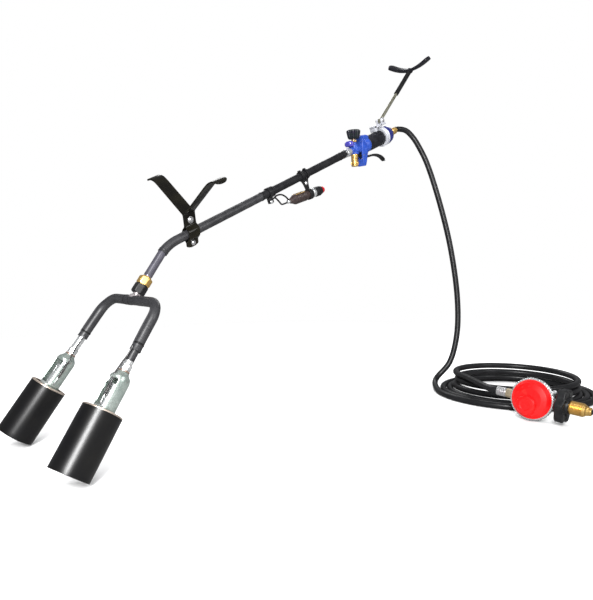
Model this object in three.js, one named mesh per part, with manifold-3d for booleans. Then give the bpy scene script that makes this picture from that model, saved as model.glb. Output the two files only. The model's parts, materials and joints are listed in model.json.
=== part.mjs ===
// A twin-head propane roofing torch, as separate solids.
// Millimetres. +X runs along the torch from the burners to the handle, +Y is its left side, +Z is up.
// The floor is z = 0: the lower rims of both burner cups and the hose coil rest on it.
// Nested groups hold the inclined parts: the burner end, the lance, the valve, the handle and the regulator.
import * as THREE from "three";
import { mergeVertices } from "three/addons/utils/BufferGeometryUtils.js";
import Module from "manifold-3d";

const wasm = await Module();
wasm.setup();

// ---------------------------------------------------------------- driving dimensions
const GAP = 0.3; // play between neighbouring solids
const BURNER_TILT = 55; // degrees, burner axes and lower pipe above the floor
const LANCE_TILT = 25.2; // degrees, upper lance above the floor
const HANDLE_TILT = 24.5; // degrees, grip above the floor
const VALVE_LEAN = 5; // degrees, valve and casting lean towards the burners

const CUP_RADIUS = 31.75;
const CUP_WALL = 1.5;
const CUP_LENGTH = 100;
const HEAD_OFFSET = 95; // from the middle plane to each arm, at the manifold bar
const HEAD_SPLAY = 5.5; // degrees, each arm leans outwards below the bar
const BEND_TO_MOUTH = 406; // from the lance bend down to the cup mouths
const BEND_TO_MANIFOLD = 118.6;
const PIPE_RADIUS = 6.85;
const PIPE_BORE = 4.6;
const SLEEVE_RADIUS = 8.7;
const MANIFOLD_BEND = 34;
const LANCE_BEND = 90;
const LANCE_LENGTH = 531; // from the bend to the valve's outlet fitting
const LANCE_SLEEVE_FROM = 67; // down the lower pipe from the bend
const LANCE_SLEEVE_TO = 523; // along the lance
const UNION_TOP = 70; // below the bend
const UNION_HEX = 22; // across flats

const STAND_AT = 57; // along the lance
const STAND_LEAN = 12.5; // degrees, the straps lean up the lance
const STAND_ROLL = 8; // degrees, turned about the lance
const STRAP_WIDTH = 25;
const STRAP_THICK = 3;

const IGNITER_DROP = 44; // from the lance's axis to the igniter's
const IGNITER_FRONT = 315;
const IGNITER_CLAMP_AT = 378;
const LEAD_CLIP_AT = 268;

const VALVE_AT = 567; // along the lance
const KNOB_RADIUS = 17;
const LEVER_REACH = 90; // lever pin to lever tip
const GRIP_RADIUS = 18.6;
const BAND_RADIUS = 24;
const CAP_RADIUS = 23.2;
const GRIP_LENGTH = 60;
const GAS_TUBE_RADIUS = 7;
const REST_ROD_ANGLE = 26.3; // degrees, above the handle's axis
const REST_PIVOT = new THREE.Vector3(80, 0, 38); // in the handle's frame
const REST_TUBE_FROM = 102; // along the rod
const REST_TUBE_TO = 191;
const CRADLE_HALF_SPAN = 62;
const CRADLE_RISE = 16;
const CRADLE_LEFT_RISE = 23; // the left arm is bent up more
const CRADLE_THICK = 8;
const CRADLE_WIDTH = 26;

const HOSE_RADIUS = 7;
const COIL_CENTRE = new THREE.Vector2(1288, -291);
const COIL_YAW = 43; // degrees, the coil's wide direction, turned from +X towards -Y
const COIL_WIDE = 163;
const COIL_DEEP = 146;
const COIL_PITCH = 15; // rise per turn
const COIL_FIRST = 178; // degrees, where the hose joins the coil
const COIL_RISE_FROM = 988; // the coil lies flat up to here, each turn inside the last, then climbs
const COIL_IN_TO = 1204; // from here each turn lies on the last
const COIL_LAST = 1994;
const COIL_OUTER = 1.13; // the first turn, as a share of the coil's size
const REGULATOR_AT = new THREE.Vector3(1094.4, -420, 43);
const REGULATOR_YAW = 4; // degrees, the inlet's direction turned from -Y towards +X
const INLET_DROP = 4; // degrees, inlet axis below level
const REGULATOR_LEAN = 8; // degrees, the cover faces slightly up
const REGULATOR_RADIUS = 42;

// ---------------------------------------------------------------- shape helpers
const rad = THREE.MathUtils.degToRad;
const v2 = (x, y) => new THREE.Vector2(x, y);
const v3 = (x, y, z) => new THREE.Vector3(x, y, z);

// A geometry with only positions, shared corners merged and no collapsed triangles.
function welded(geometry) {
  const bare = geometry.clone();
  bare.deleteAttribute("normal");
  bare.deleteAttribute("uv");
  const merged = mergeVertices(bare, 1e-4);
  const corner = merged.index.array;
  const kept = [];
  for (let i = 0; i < corner.length; i += 3) {
    const [a, b, c] = [corner[i], corner[i + 1], corner[i + 2]];
    if (a !== b && b !== c && c !== a) kept.push(a, b, c);
  }
  merged.setIndex(kept);
  return merged;
}

// Six times the enclosed volume: negative when the faces point inwards.
function signedVolume(geometry) {
  const place = geometry.attributes.position;
  const corner = geometry.index.array;
  const [a, b, c] = [v3(), v3(), v3()];
  let sum = 0;
  for (let i = 0; i < corner.length; i += 3) {
    a.fromBufferAttribute(place, corner[i]);
    b.fromBufferAttribute(place, corner[i + 1]);
    c.fromBufferAttribute(place, corner[i + 2]);
    sum += a.dot(b.cross(c));
  }
  return sum;
}

// A welded geometry whose faces point out.
function closed(geometry) {
  const made = welded(geometry);
  if (signedVolume(made) < 0) {
    const corner = Array.from(made.index.array);
    for (let i = 0; i < corner.length; i += 3) {
      [corner[i + 1], corner[i + 2]] = [corner[i + 2], corner[i + 1]];
    }
    made.setIndex(corner);
  }
  return made;
}

function solidOf(geometry) {
  const made = closed(geometry);
  return new wasm.Manifold(
    new wasm.Mesh({
      numProp: 3,
      vertProperties: new Float32Array(made.attributes.position.array),
      triVerts: new Uint32Array(made.index.array),
    }),
  );
}

function geometryOf(solid) {
  const mesh = solid.getMesh();
  const made = new THREE.BufferGeometry();
  made.setAttribute("position", new THREE.BufferAttribute(mesh.vertProperties, 3));
  made.setIndex(new THREE.BufferAttribute(mesh.triVerts, 1));
  return made;
}

function joined(first, ...others) {
  return geometryOf(others.reduce((sum, next) => sum.add(solidOf(next)), solidOf(first)));
}

function cut(base, ...tools) {
  return geometryOf(tools.reduce((rest, tool) => rest.subtract(solidOf(tool)), solidOf(base)));
}

// A round bar from one point to another.
function bar(from, to, radius, sides = 16, farRadius = radius) {
  const along = to.clone().sub(from);
  const made = new THREE.CylinderGeometry(farRadius, radius, along.length(), sides);
  made.applyQuaternion(new THREE.Quaternion().setFromUnitVectors(v3(0, 1, 0), along.clone().normalize()));
  made.translate(...from.clone().add(to).multiplyScalar(0.5).toArray());
  return made;
}

const barX = (from, to, radius, sides) => bar(v3(from, 0, 0), v3(to, 0, 0), radius, sides);
const barY = (x, z, from, to, radius, sides) => bar(v3(x, from, z), v3(x, to, z), radius, sides);
const barZ = (x, y, from, to, radius, sides) => bar(v3(x, y, from), v3(x, y, to), radius, sides);

// A box between two corners.
function block(x0, x1, y0, y1, z0, z1) {
  const made = new THREE.BoxGeometry(x1 - x0, y1 - y0, z1 - z0);
  made.translate((x0 + x1) / 2, (y0 + y1) / 2, (z0 + z1) / 2);
  return made;
}

// A profile of [radius, height] points turned about Z.
function turned(profile, sides = 24) {
  const made = new THREE.LatheGeometry(
    profile.map(([r, h]) => v2(r, h)),
    sides,
  );
  return made.rotateX(Math.PI / 2);
}

// The same, turned about X.
const turnedX = (profile, sides) => turned(profile, sides).rotateY(Math.PI / 2);

// A closed ring profile: a sleeve between two radii and two heights.
function ring(inner, outer, low, high, sides) {
  return turned([[inner, low], [outer, low], [outer, high], [inner, high], [inner, low]], sides);
}
const ringX = (inner, outer, low, high, sides) => ring(inner, outer, low, high, sides).rotateY(Math.PI / 2);

// A hexagonal prism on Z, with an optional bore.
function hexagon(acrossFlats, low, high, bore = 0) {
  const prism = barZ(0, 0, low, high, acrossFlats / Math.sqrt(3), 6);
  return bore > 0 ? cut(prism, barZ(0, 0, low - 1, high + 1, bore, 12)) : prism;
}
const hexagonX = (acrossFlats, low, high, bore) => hexagon(acrossFlats, low, high, bore).rotateY(Math.PI / 2);

function circlePoints(radius, sides) {
  const step = (2 * Math.PI) / sides;
  return Array.from(
    { length: sides }, (_, i) => v2(radius * Math.cos(i * step), radius * Math.sin(i * step)),
  );
}

// A round tube along a curve, hollow when a bore is given.
function tubeAlong(path, radius, steps, sides = 12, bore = 0) {
  const section = new THREE.Shape(circlePoints(radius, sides));
  if (bore > 0) section.holes.push(new THREE.Path(circlePoints(bore, sides)));
  return new THREE.ExtrudeGeometry(section, { steps, extrudePath: path, bevelEnabled: false });
}

// A flat outline in the XZ plane, given thickness from one Y to the other.
function plateXZ(points, y0, y1) {
  const made = new THREE.ExtrudeGeometry(new THREE.Shape(points), { depth: y1 - y0, bevelEnabled: false });
  return made.rotateX(Math.PI / 2).translate(0, y1, 0);
}

// A flat outline in the YZ plane, given thickness from one X to the other.
function plateYZ(points, x0, x1) {
  const made = new THREE.ExtrudeGeometry(new THREE.Shape(points), { depth: x1 - x0, bevelEnabled: false });
  return made.rotateX(Math.PI / 2).rotateZ(Math.PI / 2).translate(x0, 0, 0);
}

// The outline of a bent strap that follows a middle line.
function strapOutline(middle, thickness) {
  const half = thickness / 2;
  const sideways = middle.map((point, i) => {
    const before = middle[Math.max(i - 1, 0)];
    const after = middle[Math.min(i + 1, middle.length - 1)];
    const into = point.clone().sub(before);
    const out = after.clone().sub(point);
    const first = (i > 0 ? into : out).normalize();
    const second = (i < middle.length - 1 ? out : into).normalize();
    const along = first.clone().add(second).normalize();
    const miter = Math.max(first.dot(along), 0.5);
    return v2(-along.y, along.x).multiplyScalar(half / miter);
  });
  const left = middle.map((point, i) => point.clone().add(sideways[i]));
  const right = middle.map((point, i) => point.clone().sub(sideways[i]));
  return [...left, ...right.reverse()];
}

// A bend between two straight runs of a pipe, as a path in 3-D.
function bentPath(start, corner, end, radius) {
  const back = start.clone().sub(corner).normalize();
  const forth = end.clone().sub(corner).normalize();
  const turn = Math.PI - back.angleTo(forth);
  const reach = radius * Math.tan(turn / 2);
  return {
    from: corner.clone().addScaledVector(back, reach),
    to: corner.clone().addScaledVector(forth, reach),
    turn,
  };
}

// A pipe's centre line: straight runs joined by round bends, each bend sampled as an arc.
function pipeLine(corners, radius, bendSteps = 6) {
  const points = [corners[0]];
  for (let i = 1; i < corners.length - 1; i++) {
    const { from, to, turn } = bentPath(corners[i - 1], corners[i], corners[i + 1], radius);
    const centreDirection = from.clone().add(to).multiplyScalar(0.5).sub(corners[i]).normalize();
    const centre = corners[i].clone().addScaledVector(centreDirection, radius / Math.cos(turn / 2));
    const axis = from.clone().sub(centre).cross(to.clone().sub(centre)).normalize();
    for (let k = 0; k <= bendSteps; k++) {
      const spoke = from.clone().sub(centre).applyAxisAngle(axis, (turn * k) / bendSteps);
      points.push(centre.clone().add(spoke));
    }
  }
  points.push(corners[corners.length - 1]);
  return points;
}

// A path that passes through its points in straight steps, one extrusion step per run.
class PolylineCurve extends THREE.Curve {
  constructor(points) {
    super();
    this.points = points;
  }
  getPoint(t, target = v3()) {
    const last = this.points.length - 1;
    const place = Math.min(t * last, last);
    const run = Math.min(Math.floor(place), last - 1);
    return target.lerpVectors(this.points[run], this.points[run + 1], place - run);
  }
  getPointAt(t, target) {
    return this.getPoint(t, target);
  }
  getTangentAt(t, target = v3()) {
    const last = this.points.length - 1;
    const near = Math.round(t * last);
    const before = this.points[Math.max(near - 1, 0)];
    const after = this.points[Math.min(near + 1, last)];
    return target.subVectors(after, before).normalize();
  }
}

function pipe(points, radius, sides, bore) {
  return tubeAlong(new PolylineCurve(points), radius, points.length - 1, sides, bore);
}

// A coil spring on Z.
function coilSpring(radius, wire, low, high, turns, stepsPerTurn = 8) {
  const count = Math.round(turns * stepsPerTurn);
  const points = Array.from({ length: count + 1 }, (_, i) => {
    const angle = (2 * Math.PI * turns * i) / count;
    const height = low + wire + ((high - low - 2 * wire) * i) / count;
    return v3(radius * Math.cos(angle), radius * Math.sin(angle), height);
  });
  return pipe(points, wire, 4);
}

// ---------------------------------------------------------------- materials and groups
function finish(colour, roughness, metalness) {
  return () => new THREE.MeshStandardMaterial({ color: colour, roughness, metalness });
}
const glossBlack = finish("#0c0d0e", 0.25, 0.2);
const satinBlack = finish("#1b1c1e", 0.5, 0.2);
const darkSleeve = finish("#4a4a50", 0.7, 0.0);
const barePipe = finish("#8c8b99", 0.4, 0.8);
const zinc = finish("#b9c4bd", 0.35, 0.9);
const brightZinc = finish("#d6d9d8", 0.25, 0.95);
const brass = finish("#c8953a", 0.3, 0.9);
const steel = finish("#a6a7a6", 0.35, 0.9);
const blueCasting = finish("#2f4bb5", 0.45, 0.2);
const darkBlue = finish("#1d2358", 0.35, 0.1);
const blackPlastic = finish("#151618", 0.55, 0.0);
const rubber = finish("#121314", 0.6, 0.0);
const redPaint = finish("#e0191b", 0.4, 0.1);
const darkBrown = finish("#3a2c2c", 0.6, 0.0);

const torch = new THREE.Group();

function group(parent, position, turn = [0, 0, 0], order = "XYZ") {
  const made = new THREE.Group();
  made.position.copy(position);
  made.rotation.set(rad(turn[0]), rad(turn[1]), rad(turn[2]), order);
  parent.add(made);
  return made;
}

function part(parent, name, geometry, material) {
  const mesh = new THREE.Mesh(closed(geometry), material());
  mesh.name = name;
  parent.add(mesh);
}

// The lance bend: the burner end's axis and the lance's axis meet here.
// Its height puts the lowest points of the cups' mouths on the floor.
const armDrop = Math.sin(rad(BURNER_TILT)) * Math.cos(rad(HEAD_SPLAY)); // fall per length of arm
const bendHeight = BEND_TO_MANIFOLD * Math.sin(rad(BURNER_TILT))
  + (BEND_TO_MOUTH - BEND_TO_MANIFOLD) * armDrop
  + CUP_RADIUS * Math.sqrt(1 - armDrop * armDrop);
const BEND = v3(512.5, 0, bendHeight);
const onLance = (distance) => BEND.clone().add(
  v3(Math.cos(rad(LANCE_TILT)), 0, Math.sin(rad(LANCE_TILT))).multiplyScalar(distance),
);

// In the burner end's group +Z runs up the lower pipe to the bend.
const burnerEnd = group(torch, BEND, [0, 90 - BURNER_TILT, 0]);
// In the lance's group +X runs along the lance to the valve.
const lance = group(torch, BEND, [0, -LANCE_TILT, 0]);

// ---------------------------------------------------------------- burner heads
const CUP_REAR = -(BEND_TO_MOUTH - CUP_LENGTH);
const CAGE_TOP = CUP_REAR + 63;
const JET_TOP = CUP_REAR + 82;
const CAGE_TURN = 20; // degrees, the cage's windows and the slots, turned about the burner's axis

// A point of one arm's axis, by its height in the arm's own frame.
const barHeight = -BEND_TO_MANIFOLD;
function onArm(sign, height) {
  const down = barHeight - height;
  return v3(
    0, sign * (HEAD_OFFSET + down * Math.sin(rad(HEAD_SPLAY))), barHeight - down * Math.cos(rad(HEAD_SPLAY)),
  );
}

function addBurner(side, sign, electrodeAt) {
  const arm = group(burnerEnd, v3(0, sign * HEAD_OFFSET, barHeight), [sign * HEAD_SPLAY, 0, 0]);
  const head = group(arm, v3(0, 0, -barHeight));
  const mouth = -BEND_TO_MOUTH;
  const inner = CUP_RADIUS - CUP_WALL;
  // A tube open at the mouth, with a narrow lip turned in at the rear.
  part(head, `${side}_burner_cup`, turned([
    [inner, mouth], [CUP_RADIUS, mouth], [CUP_RADIUS, CUP_REAR - 2], [CUP_RADIUS - 1.5, CUP_REAR],
    [inner - 5, CUP_REAR], [inner - 5, CUP_REAR - 1.8], [inner, CUP_REAR - 3], [inner, mouth],
  ], 20), glossBlack);

  // The air cage: a flanged disc that closes the cup, two side plates with shoulders,
  // and a neck round the jet.
  const plateLow = CUP_REAR - 5.6;
  const disc = inner - 1.2;
  const shell = turned([
    [10.5, plateLow], [disc, plateLow], [disc, plateLow + 1.6], [17, plateLow + 1.6],
    [17, CAGE_TOP - 16], [15, CAGE_TOP - 9], [9.5, CAGE_TOP - 2], [9.5, CAGE_TOP],
    [7.2, CAGE_TOP], [7.2, CAGE_TOP - 3], [13.2, CAGE_TOP - 11], [15.4, CAGE_TOP - 18],
    [15.4, plateLow + 1.6], [10.5, plateLow + 1.6], [10.5, plateLow],
  ], 14);
  const windowLow = CUP_REAR + 4;
  const windowHigh = CAGE_TOP - 13;
  part(head, `${side}_air_cage`, cut(shell,
    block(-30, 30, -9.5, 9.5, windowLow, windowHigh).rotateZ(rad(CAGE_TURN)),
  ), zinc);

  // The mixing tube passes through the disc and carries the flame holder, a drilled disc inside the cup.
  const mixLow = CUP_REAR - 46;
  const mixing = ring(7.6, 9.6, mixLow, CAGE_TOP - 22, 10);
  const holder = ring(7.6, 26, mixLow + 7, mixLow + 9, 10);
  const slots = [0, 60, 120].map((turn) => turn + CAGE_TURN).map(
    (turn) => block(-12, 12, -1.6, 1.6, CAGE_TOP - 40, CAGE_TOP - 26).rotateZ(rad(turn)),
  );
  const holes = [0, 90, 180, 270].map(
    (turn) => barZ(18, 0, mixLow, mixLow + 14, 3.5, 6).rotateZ(rad(turn)),
  );
  part(head, `${side}_mixing_tube`, cut(joined(mixing, holder), ...slots, ...holes), brightZinc);

  // The jet nipple: a nose inside the cage's neck, a hexagon, and a socket for the pipe.
  part(head, `${side}_jet_nipple`, cut(
    joined(
      barZ(0, 0, CAGE_TOP - 14, CAGE_TOP + 2, 6.2, 18),
      barZ(0, 0, CAGE_TOP + GAP, JET_TOP - 6, 15 / Math.sqrt(3), 6),
      barZ(0, 0, JET_TOP - 7, JET_TOP, 7.2, 18),
    ),
    barZ(0, 0, CAGE_TOP - 15, JET_TOP + 1, 0.8, 8),
  ), brightZinc);

  // The electrode: a ceramic barrel along the burner, with its wire out of both ends.
  const [x, y] = electrodeAt.toArray();
  part(head, `${side}_electrode`, joined(
    barZ(x, y, CUP_REAR + 7, CUP_REAR + 44, 1.6, 8),
    barZ(x, y, CUP_REAR + 20, CUP_REAR + 38, 2.6, 10),
  ), satinBlack);
}

// The left electrode runs outside its cage, the right one inside a window.
const polar = (radius, degrees) => v2(radius, 0).rotateAround(v2(0, 0), rad(degrees));
addBurner("left", 1, polar(20.4, 262));
addBurner("right", -1, polar(13.2, 180 + CAGE_TURN));

// ---------------------------------------------------------------- manifold and union
const manifoldCorners = [
  onArm(1, JET_TOP + GAP), onArm(1, barHeight), onArm(-1, barHeight), onArm(-1, JET_TOP + GAP),
];
const manifoldLine = pipeLine(manifoldCorners, MANIFOLD_BEND, 5);
const NIPPLE_TOP = -UNION_TOP - 35;
part(burnerEnd, "manifold_pipe", joined(
  pipe(manifoldLine, PIPE_RADIUS, 10),
  barZ(0, 0, barHeight, NIPPLE_TOP, 5.6, 16),
), barePipe);

const SLEEVE_FOOT = CUP_REAR + 100;
function sleeveLine(side, inwards) {
  const corners = [
    onArm(side, SLEEVE_FOOT), onArm(side, barHeight), v3(0, inwards, barHeight),
  ];
  return pipeLine(corners, MANIFOLD_BEND, 5);
}
const manifoldSleeve = (side, inwards) => pipe(
  sleeveLine(side, inwards), SLEEVE_RADIUS, 10, PIPE_RADIUS + 2 * GAP,
);
part(burnerEnd, "left_manifold_sleeve", manifoldSleeve(1, 14), darkSleeve);
part(burnerEnd, "right_manifold_sleeve", cut(
  manifoldSleeve(-1, 13.4),
  barZ(0, 0, barHeight + 2, NIPPLE_TOP, 6.2, 16),
), darkSleeve);

part(burnerEnd, "union_body", hexagon(UNION_HEX, NIPPLE_TOP + GAP, -UNION_TOP - 17 - GAP), satinBlack);
part(burnerEnd, "union_nut", hexagon(UNION_HEX, -UNION_TOP - 17, -UNION_TOP, PIPE_RADIUS + GAP), brass);

// ---------------------------------------------------------------- lance
const lowerPipe = v3(-Math.cos(rad(BURNER_TILT)), 0, -Math.sin(rad(BURNER_TILT)));
const onLowerPipe = (distance) => BEND.clone().addScaledVector(lowerPipe, distance);
const lanceLine = pipeLine([onLowerPipe(UNION_TOP + 15), BEND, onLance(LANCE_LENGTH)], LANCE_BEND, 5);
part(torch, "lance_pipe", pipe(lanceLine, PIPE_RADIUS, 12, PIPE_BORE), glossBlack);
const lanceSleeveLine = pipeLine(
  [onLowerPipe(LANCE_SLEEVE_FROM), BEND, onLance(LANCE_SLEEVE_TO)], LANCE_BEND, 5,
);
part(torch, "lance_sleeve", pipe(lanceSleeveLine, SLEEVE_RADIUS, 12, PIPE_RADIUS + 2 * GAP), darkSleeve);

// ---------------------------------------------------------------- front V stand
// The stand's frame: +X across the straps, +Z up the bracket.
const stand = group(lance, v3(STAND_AT, 0, 0), [STAND_ROLL, 0, 0]);
const leanPerHeight = Math.tan(rad(STAND_LEAN));
const leaned = (geometry) => geometry.applyMatrix4(
  new THREE.Matrix4().makeShear(0, 0, 0, 0, leanPerHeight, 0),
);
const STAND_FOLD = 37;
const UPPER_BOLT_AT = 24;
const LOWER_BOLT_AT = -18.5;

function legMiddleLine(side) {
  const flat = STRAP_THICK / 2 + GAP;
  const wrap = SLEEVE_RADIUS + GAP + STRAP_THICK / 2 + 0.4;
  const knee = v2(75, 89);
  const toe = new THREE.QuadraticBezierCurve(knee, v2(95, 103), v2(113, 94)).getPoints(5);
  const line = [
    v2(flat, -25), v2(flat, -13.5), v2(wrap, -6.5), v2(wrap, 6.5), v2(flat, 14), v2(flat, STAND_FOLD), ...toe,
  ];
  return line.map((point) => v2(side * point.x, point.y));
}
function legBlank(side) {
  return leaned(plateYZ(strapOutline(legMiddleLine(side), STRAP_THICK), -STRAP_WIDTH / 2, STRAP_WIDTH / 2));
}
const boltHole = (height, radius) => barY(height * leanPerHeight, height, -20, 20, radius, 10);
for (const [name, side] of [["left_stand_leg", 1], ["right_stand_leg", -1]]) {
  part(stand, name, cut(
    legBlank(side), boltHole(UPPER_BOLT_AT, 3.3), boltHole(LOWER_BOLT_AT, 2.8),
  ), glossBlack);
}

// A bolt across Y with its nut on: the head is on the right side, the nut on the left.
function addBolt(parent, name, x, z, reach, shank, head) {
  part(parent, name, joined(
    barY(x, z, -reach - head * 0.45, -reach, head, 10),
    barY(x, z, -reach - 1, reach + head * 0.9, shank, 10),
    barY(x, z, reach, reach + head * 0.7, head, 6),
  ), steel);
}
const strapReach = STRAP_THICK + 2 * GAP;
addBolt(stand, "stand_upper_bolt", UPPER_BOLT_AT * leanPerHeight, UPPER_BOLT_AT, strapReach, 3, 5.5);
addBolt(stand, "stand_lower_bolt", LOWER_BOLT_AT * leanPerHeight, LOWER_BOLT_AT, strapReach, 2.5, 4.2);

// ---------------------------------------------------------------- igniter under the lance
const bandInner = SLEEVE_RADIUS + GAP;
const bandOuter = bandInner + 2.2;
const clampRadius = 9.6;
const igniterZ = -IGNITER_DROP;
const bands = [-8, 8].map(
  (shift) => barX(IGNITER_CLAMP_AT + shift - 3, IGNITER_CLAMP_AT + shift + 3, bandOuter, 14),
);
const web = plateXZ([
  v2(IGNITER_CLAMP_AT - 11, -8), v2(IGNITER_CLAMP_AT + 11, -8), v2(IGNITER_CLAMP_AT + 7, -20),
  v2(IGNITER_CLAMP_AT + 5, igniterZ + clampRadius + 1), v2(IGNITER_CLAMP_AT - 5, igniterZ + clampRadius + 1),
  v2(IGNITER_CLAMP_AT - 7, -20),
], -2, 2);
const IGNITER_TURN = 6.5; // degrees, the igniter is nearer to level than the lance
const inClamp = (geometry) => geometry.rotateY(rad(IGNITER_TURN)).translate(IGNITER_CLAMP_AT, 0, igniterZ);
const clampRing = inClamp(barX(-5, 5, clampRadius + 2.4, 14));
part(lance, "igniter_bracket", cut(
  joined(web, ...bands, clampRing),
  barX(IGNITER_CLAMP_AT - 20, IGNITER_CLAMP_AT + 20, bandInner + GAP, 12),
  inClamp(barX(-20, 20, clampRadius, 12)),
  barY(IGNITER_CLAMP_AT, -18, -9, 9, 2.3, 10),
), satinBlack);
addBolt(lance, "igniter_bolt", IGNITER_CLAMP_AT, -18, 2 + GAP, 2, 3.8);

// The igniter's frame: +X along its own axis.
const igniterClamp = group(lance, v3(IGNITER_CLAMP_AT, 0, igniterZ), [0, IGNITER_TURN, 0]);
const igniter = group(igniterClamp, v3(-IGNITER_CLAMP_AT, 0, 0));
const neck = clampRadius - GAP;
const COLLAR_AT = 387;
part(igniter, "igniter_body", cut(
  turnedX([
    [0, IGNITER_FRONT], [5, IGNITER_FRONT], [6.8, IGNITER_FRONT + 6], [9.8, IGNITER_FRONT + 14],
    [11.2, IGNITER_FRONT + 22], [9.9, IGNITER_FRONT + 24], [11.2, IGNITER_FRONT + 26],
    [11.2, IGNITER_FRONT + 34], [9.9, IGNITER_FRONT + 36], [11.2, IGNITER_FRONT + 38],
    [11.2, IGNITER_FRONT + 46], [9.9, IGNITER_FRONT + 48], [10.8, IGNITER_FRONT + 50],
    [neck, IGNITER_CLAMP_AT - 7], [neck, COLLAR_AT - GAP], [0, COLLAR_AT - GAP],
  ], 12),
  barX(IGNITER_FRONT + 24, COLLAR_AT + 1, 7, 12),
), darkBrown);
const KNOB_END = COLLAR_AT + 29;
// The spark element carries the button's return spring, drawn at its pressed length.
part(igniter, "spark_element", joined(
  barX(IGNITER_FRONT + 25, COLLAR_AT - 12, 6.4, 12),
  coilSpring(3, 0.6, COLLAR_AT - 12.9, KNOB_END - 3, 4, 6).rotateY(Math.PI / 2),
), blackPlastic);
part(igniter, "igniter_knob", cut(
  joined(
    barX(COLLAR_AT, COLLAR_AT + 8, 10.4, 12),
    hexagonX(21, COLLAR_AT + 7, KNOB_END - 6),
    bar(v3(KNOB_END - 7, 0, 0), v3(KNOB_END, 0, 0), 10.4, 12, 9.4),
  ),
  barX(COLLAR_AT - 1, KNOB_END + 1, 8, 12),
), blackPlastic);
part(igniter, "igniter_button", cut(
  turnedX([
    [0, KNOB_END - 16], [7.6, KNOB_END - 16], [7.6, KNOB_END + 7], [6, KNOB_END + 9], [0, KNOB_END + 9],
  ], 12),
  barX(KNOB_END - 17, KNOB_END + 4, 5.6, 10),
), redPaint);

// Two leads from the clip on the lance to the igniter's front.
function lead(points) {
  return tubeAlong(new THREE.CatmullRomCurve3(points), 1.7, 10, 5);
}
const leadEnd = v3(IGNITER_FRONT - 2 - IGNITER_CLAMP_AT, 0, 1).applyAxisAngle(v3(0, 1, 0), rad(IGNITER_TURN));
const leadX = IGNITER_CLAMP_AT + leadEnd.x;
const leadZ = igniterZ + leadEnd.z;
part(lance, "igniter_leads", joined(
  lead([
    v3(272, -2.6, -14.5), v3(284, -3, -12), v3(297, -3, -15), v3(307, -3, -24),
    v3(leadX, -2, leadZ),
  ]),
  lead([
    v3(272, 2.6, -16), v3(282, 3, -16), v3(289, 3, -26), v3(294, 3, -35), v3(303, 3, -37),
    v3(leadX, 2, leadZ - 2),
  ]),
  inClamp(barX(IGNITER_FRONT - 5 - IGNITER_CLAMP_AT, IGNITER_FRONT - GAP - IGNITER_CLAMP_AT, 4.2, 12)),
), rubber);
part(lance, "lead_clip", cut(
  joined(
    barX(LEAD_CLIP_AT - 5, LEAD_CLIP_AT + 5, SLEEVE_RADIUS + 2.8, 12),
    block(LEAD_CLIP_AT - 8, LEAD_CLIP_AT + 3, -4.6, 4.6, -22, -7),
    barY(LEAD_CLIP_AT - 4, -19, -7, -4, 3.6, 12),
  ),
  barX(LEAD_CLIP_AT - 9, LEAD_CLIP_AT + 9, SLEEVE_RADIUS + 2 * GAP, 12),
), blackPlastic);

// ---------------------------------------------------------------- control valve
// The outlet fitting is on the lance's axis; the valve's own frame has +Z up the knob's stem.
const FITTING_END = VALVE_AT - 16;
part(lance, "outlet_fitting", joined(
  hexagonX(19, LANCE_LENGTH + GAP, LANCE_LENGTH + 13),
  barX(LANCE_LENGTH + 12, FITTING_END, 7.6, 16),
), brightZinc);

const valve = group(torch, onLance(VALVE_AT), [0, -VALVE_LEAN, 0]);
const lanceTurn = rad(VALVE_LEAN - LANCE_TILT); // the lance's direction in the valve's frame
const alongLance = (distance) => v3(Math.cos(lanceTurn), 0, -Math.sin(lanceTurn)).multiplyScalar(distance);
const CASTING_FRONT = 17.5;
const BODY_LOW = -12.5;
const CAP_AT = -17;
part(valve, "valve_body", cut(
  joined(
    barZ(0, 0, BODY_LOW, 10, 11, 16),
    barZ(0, 0, 9, 16, 7, 12),
    bar(alongLance(FITTING_END + GAP - VALVE_AT), alongLance(0), 8.5, 12),
    barX(0, CASTING_FRONT - GAP, 7, 12),
    block(CAP_AT, 0, -6, 6, 5, 10),
    turned([[0, 5], [7.6, 5], [9.3, 9], [9.3, 13.5], [6.6, 17.6], [0, 18.6]], 12)
      .scale(1, 1.3, 1).translate(CAP_AT, 0, 0),
  ),
  barZ(0, 0, 2, 17, 3, 12),
), blueCasting);
part(valve, "gland_nut", hexagon(12, 16 + GAP, 23, 3), brass);
part(valve, "flow_stem", barZ(0, 0, 5, 34, 2.6, 12), brass);

// The flow knob: a fluted skirt that widens upwards, bored for the stem.
function knobOutline(radius, flutes, depth) {
  const count = flutes * 3;
  return Array.from({ length: count }, (_, i) => {
    const angle = (2 * Math.PI * i) / count;
    const reach = radius - (i % 3 === 0 ? depth : 0);
    return v2(reach * Math.cos(angle), reach * Math.sin(angle));
  });
}
const knobSkirt = new THREE.ExtrudeGeometry(
  new THREE.Shape(knobOutline(KNOB_RADIUS, 9, 2)), { depth: 16, bevelEnabled: false },
).translate(0, 0, 27);
part(valve, "flow_knob", cut(
  joined(knobSkirt, bar(v3(0, 0, 23.5), v3(0, 0, 28), 10, 14, 14), barZ(0, 0, 42, 45, 13, 14)),
  barZ(0, 0, 22, 34.3, 2.9, 12),
), blackPlastic);

const crownTeeth = [0, 45, 90, 135].map((turn) => joined(
  block(9, 14, -1.3, 1.3, -34.5, -31), block(-14, -9, -1.3, 1.3, -34.5, -31),
).rotateZ(rad(turn)));
part(valve, "bonnet", cut(
  joined(
    barZ(0, 0, -32, BODY_LOW - GAP, 8.3, 12), barZ(0, 0, -36, -31, 9.8, 16), barZ(0, 0, -41, -35, 8.4, 12),
  ),
  barZ(0, 0, -34, 0, 5.5, 8), ...crownTeeth,
), brass);

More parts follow.
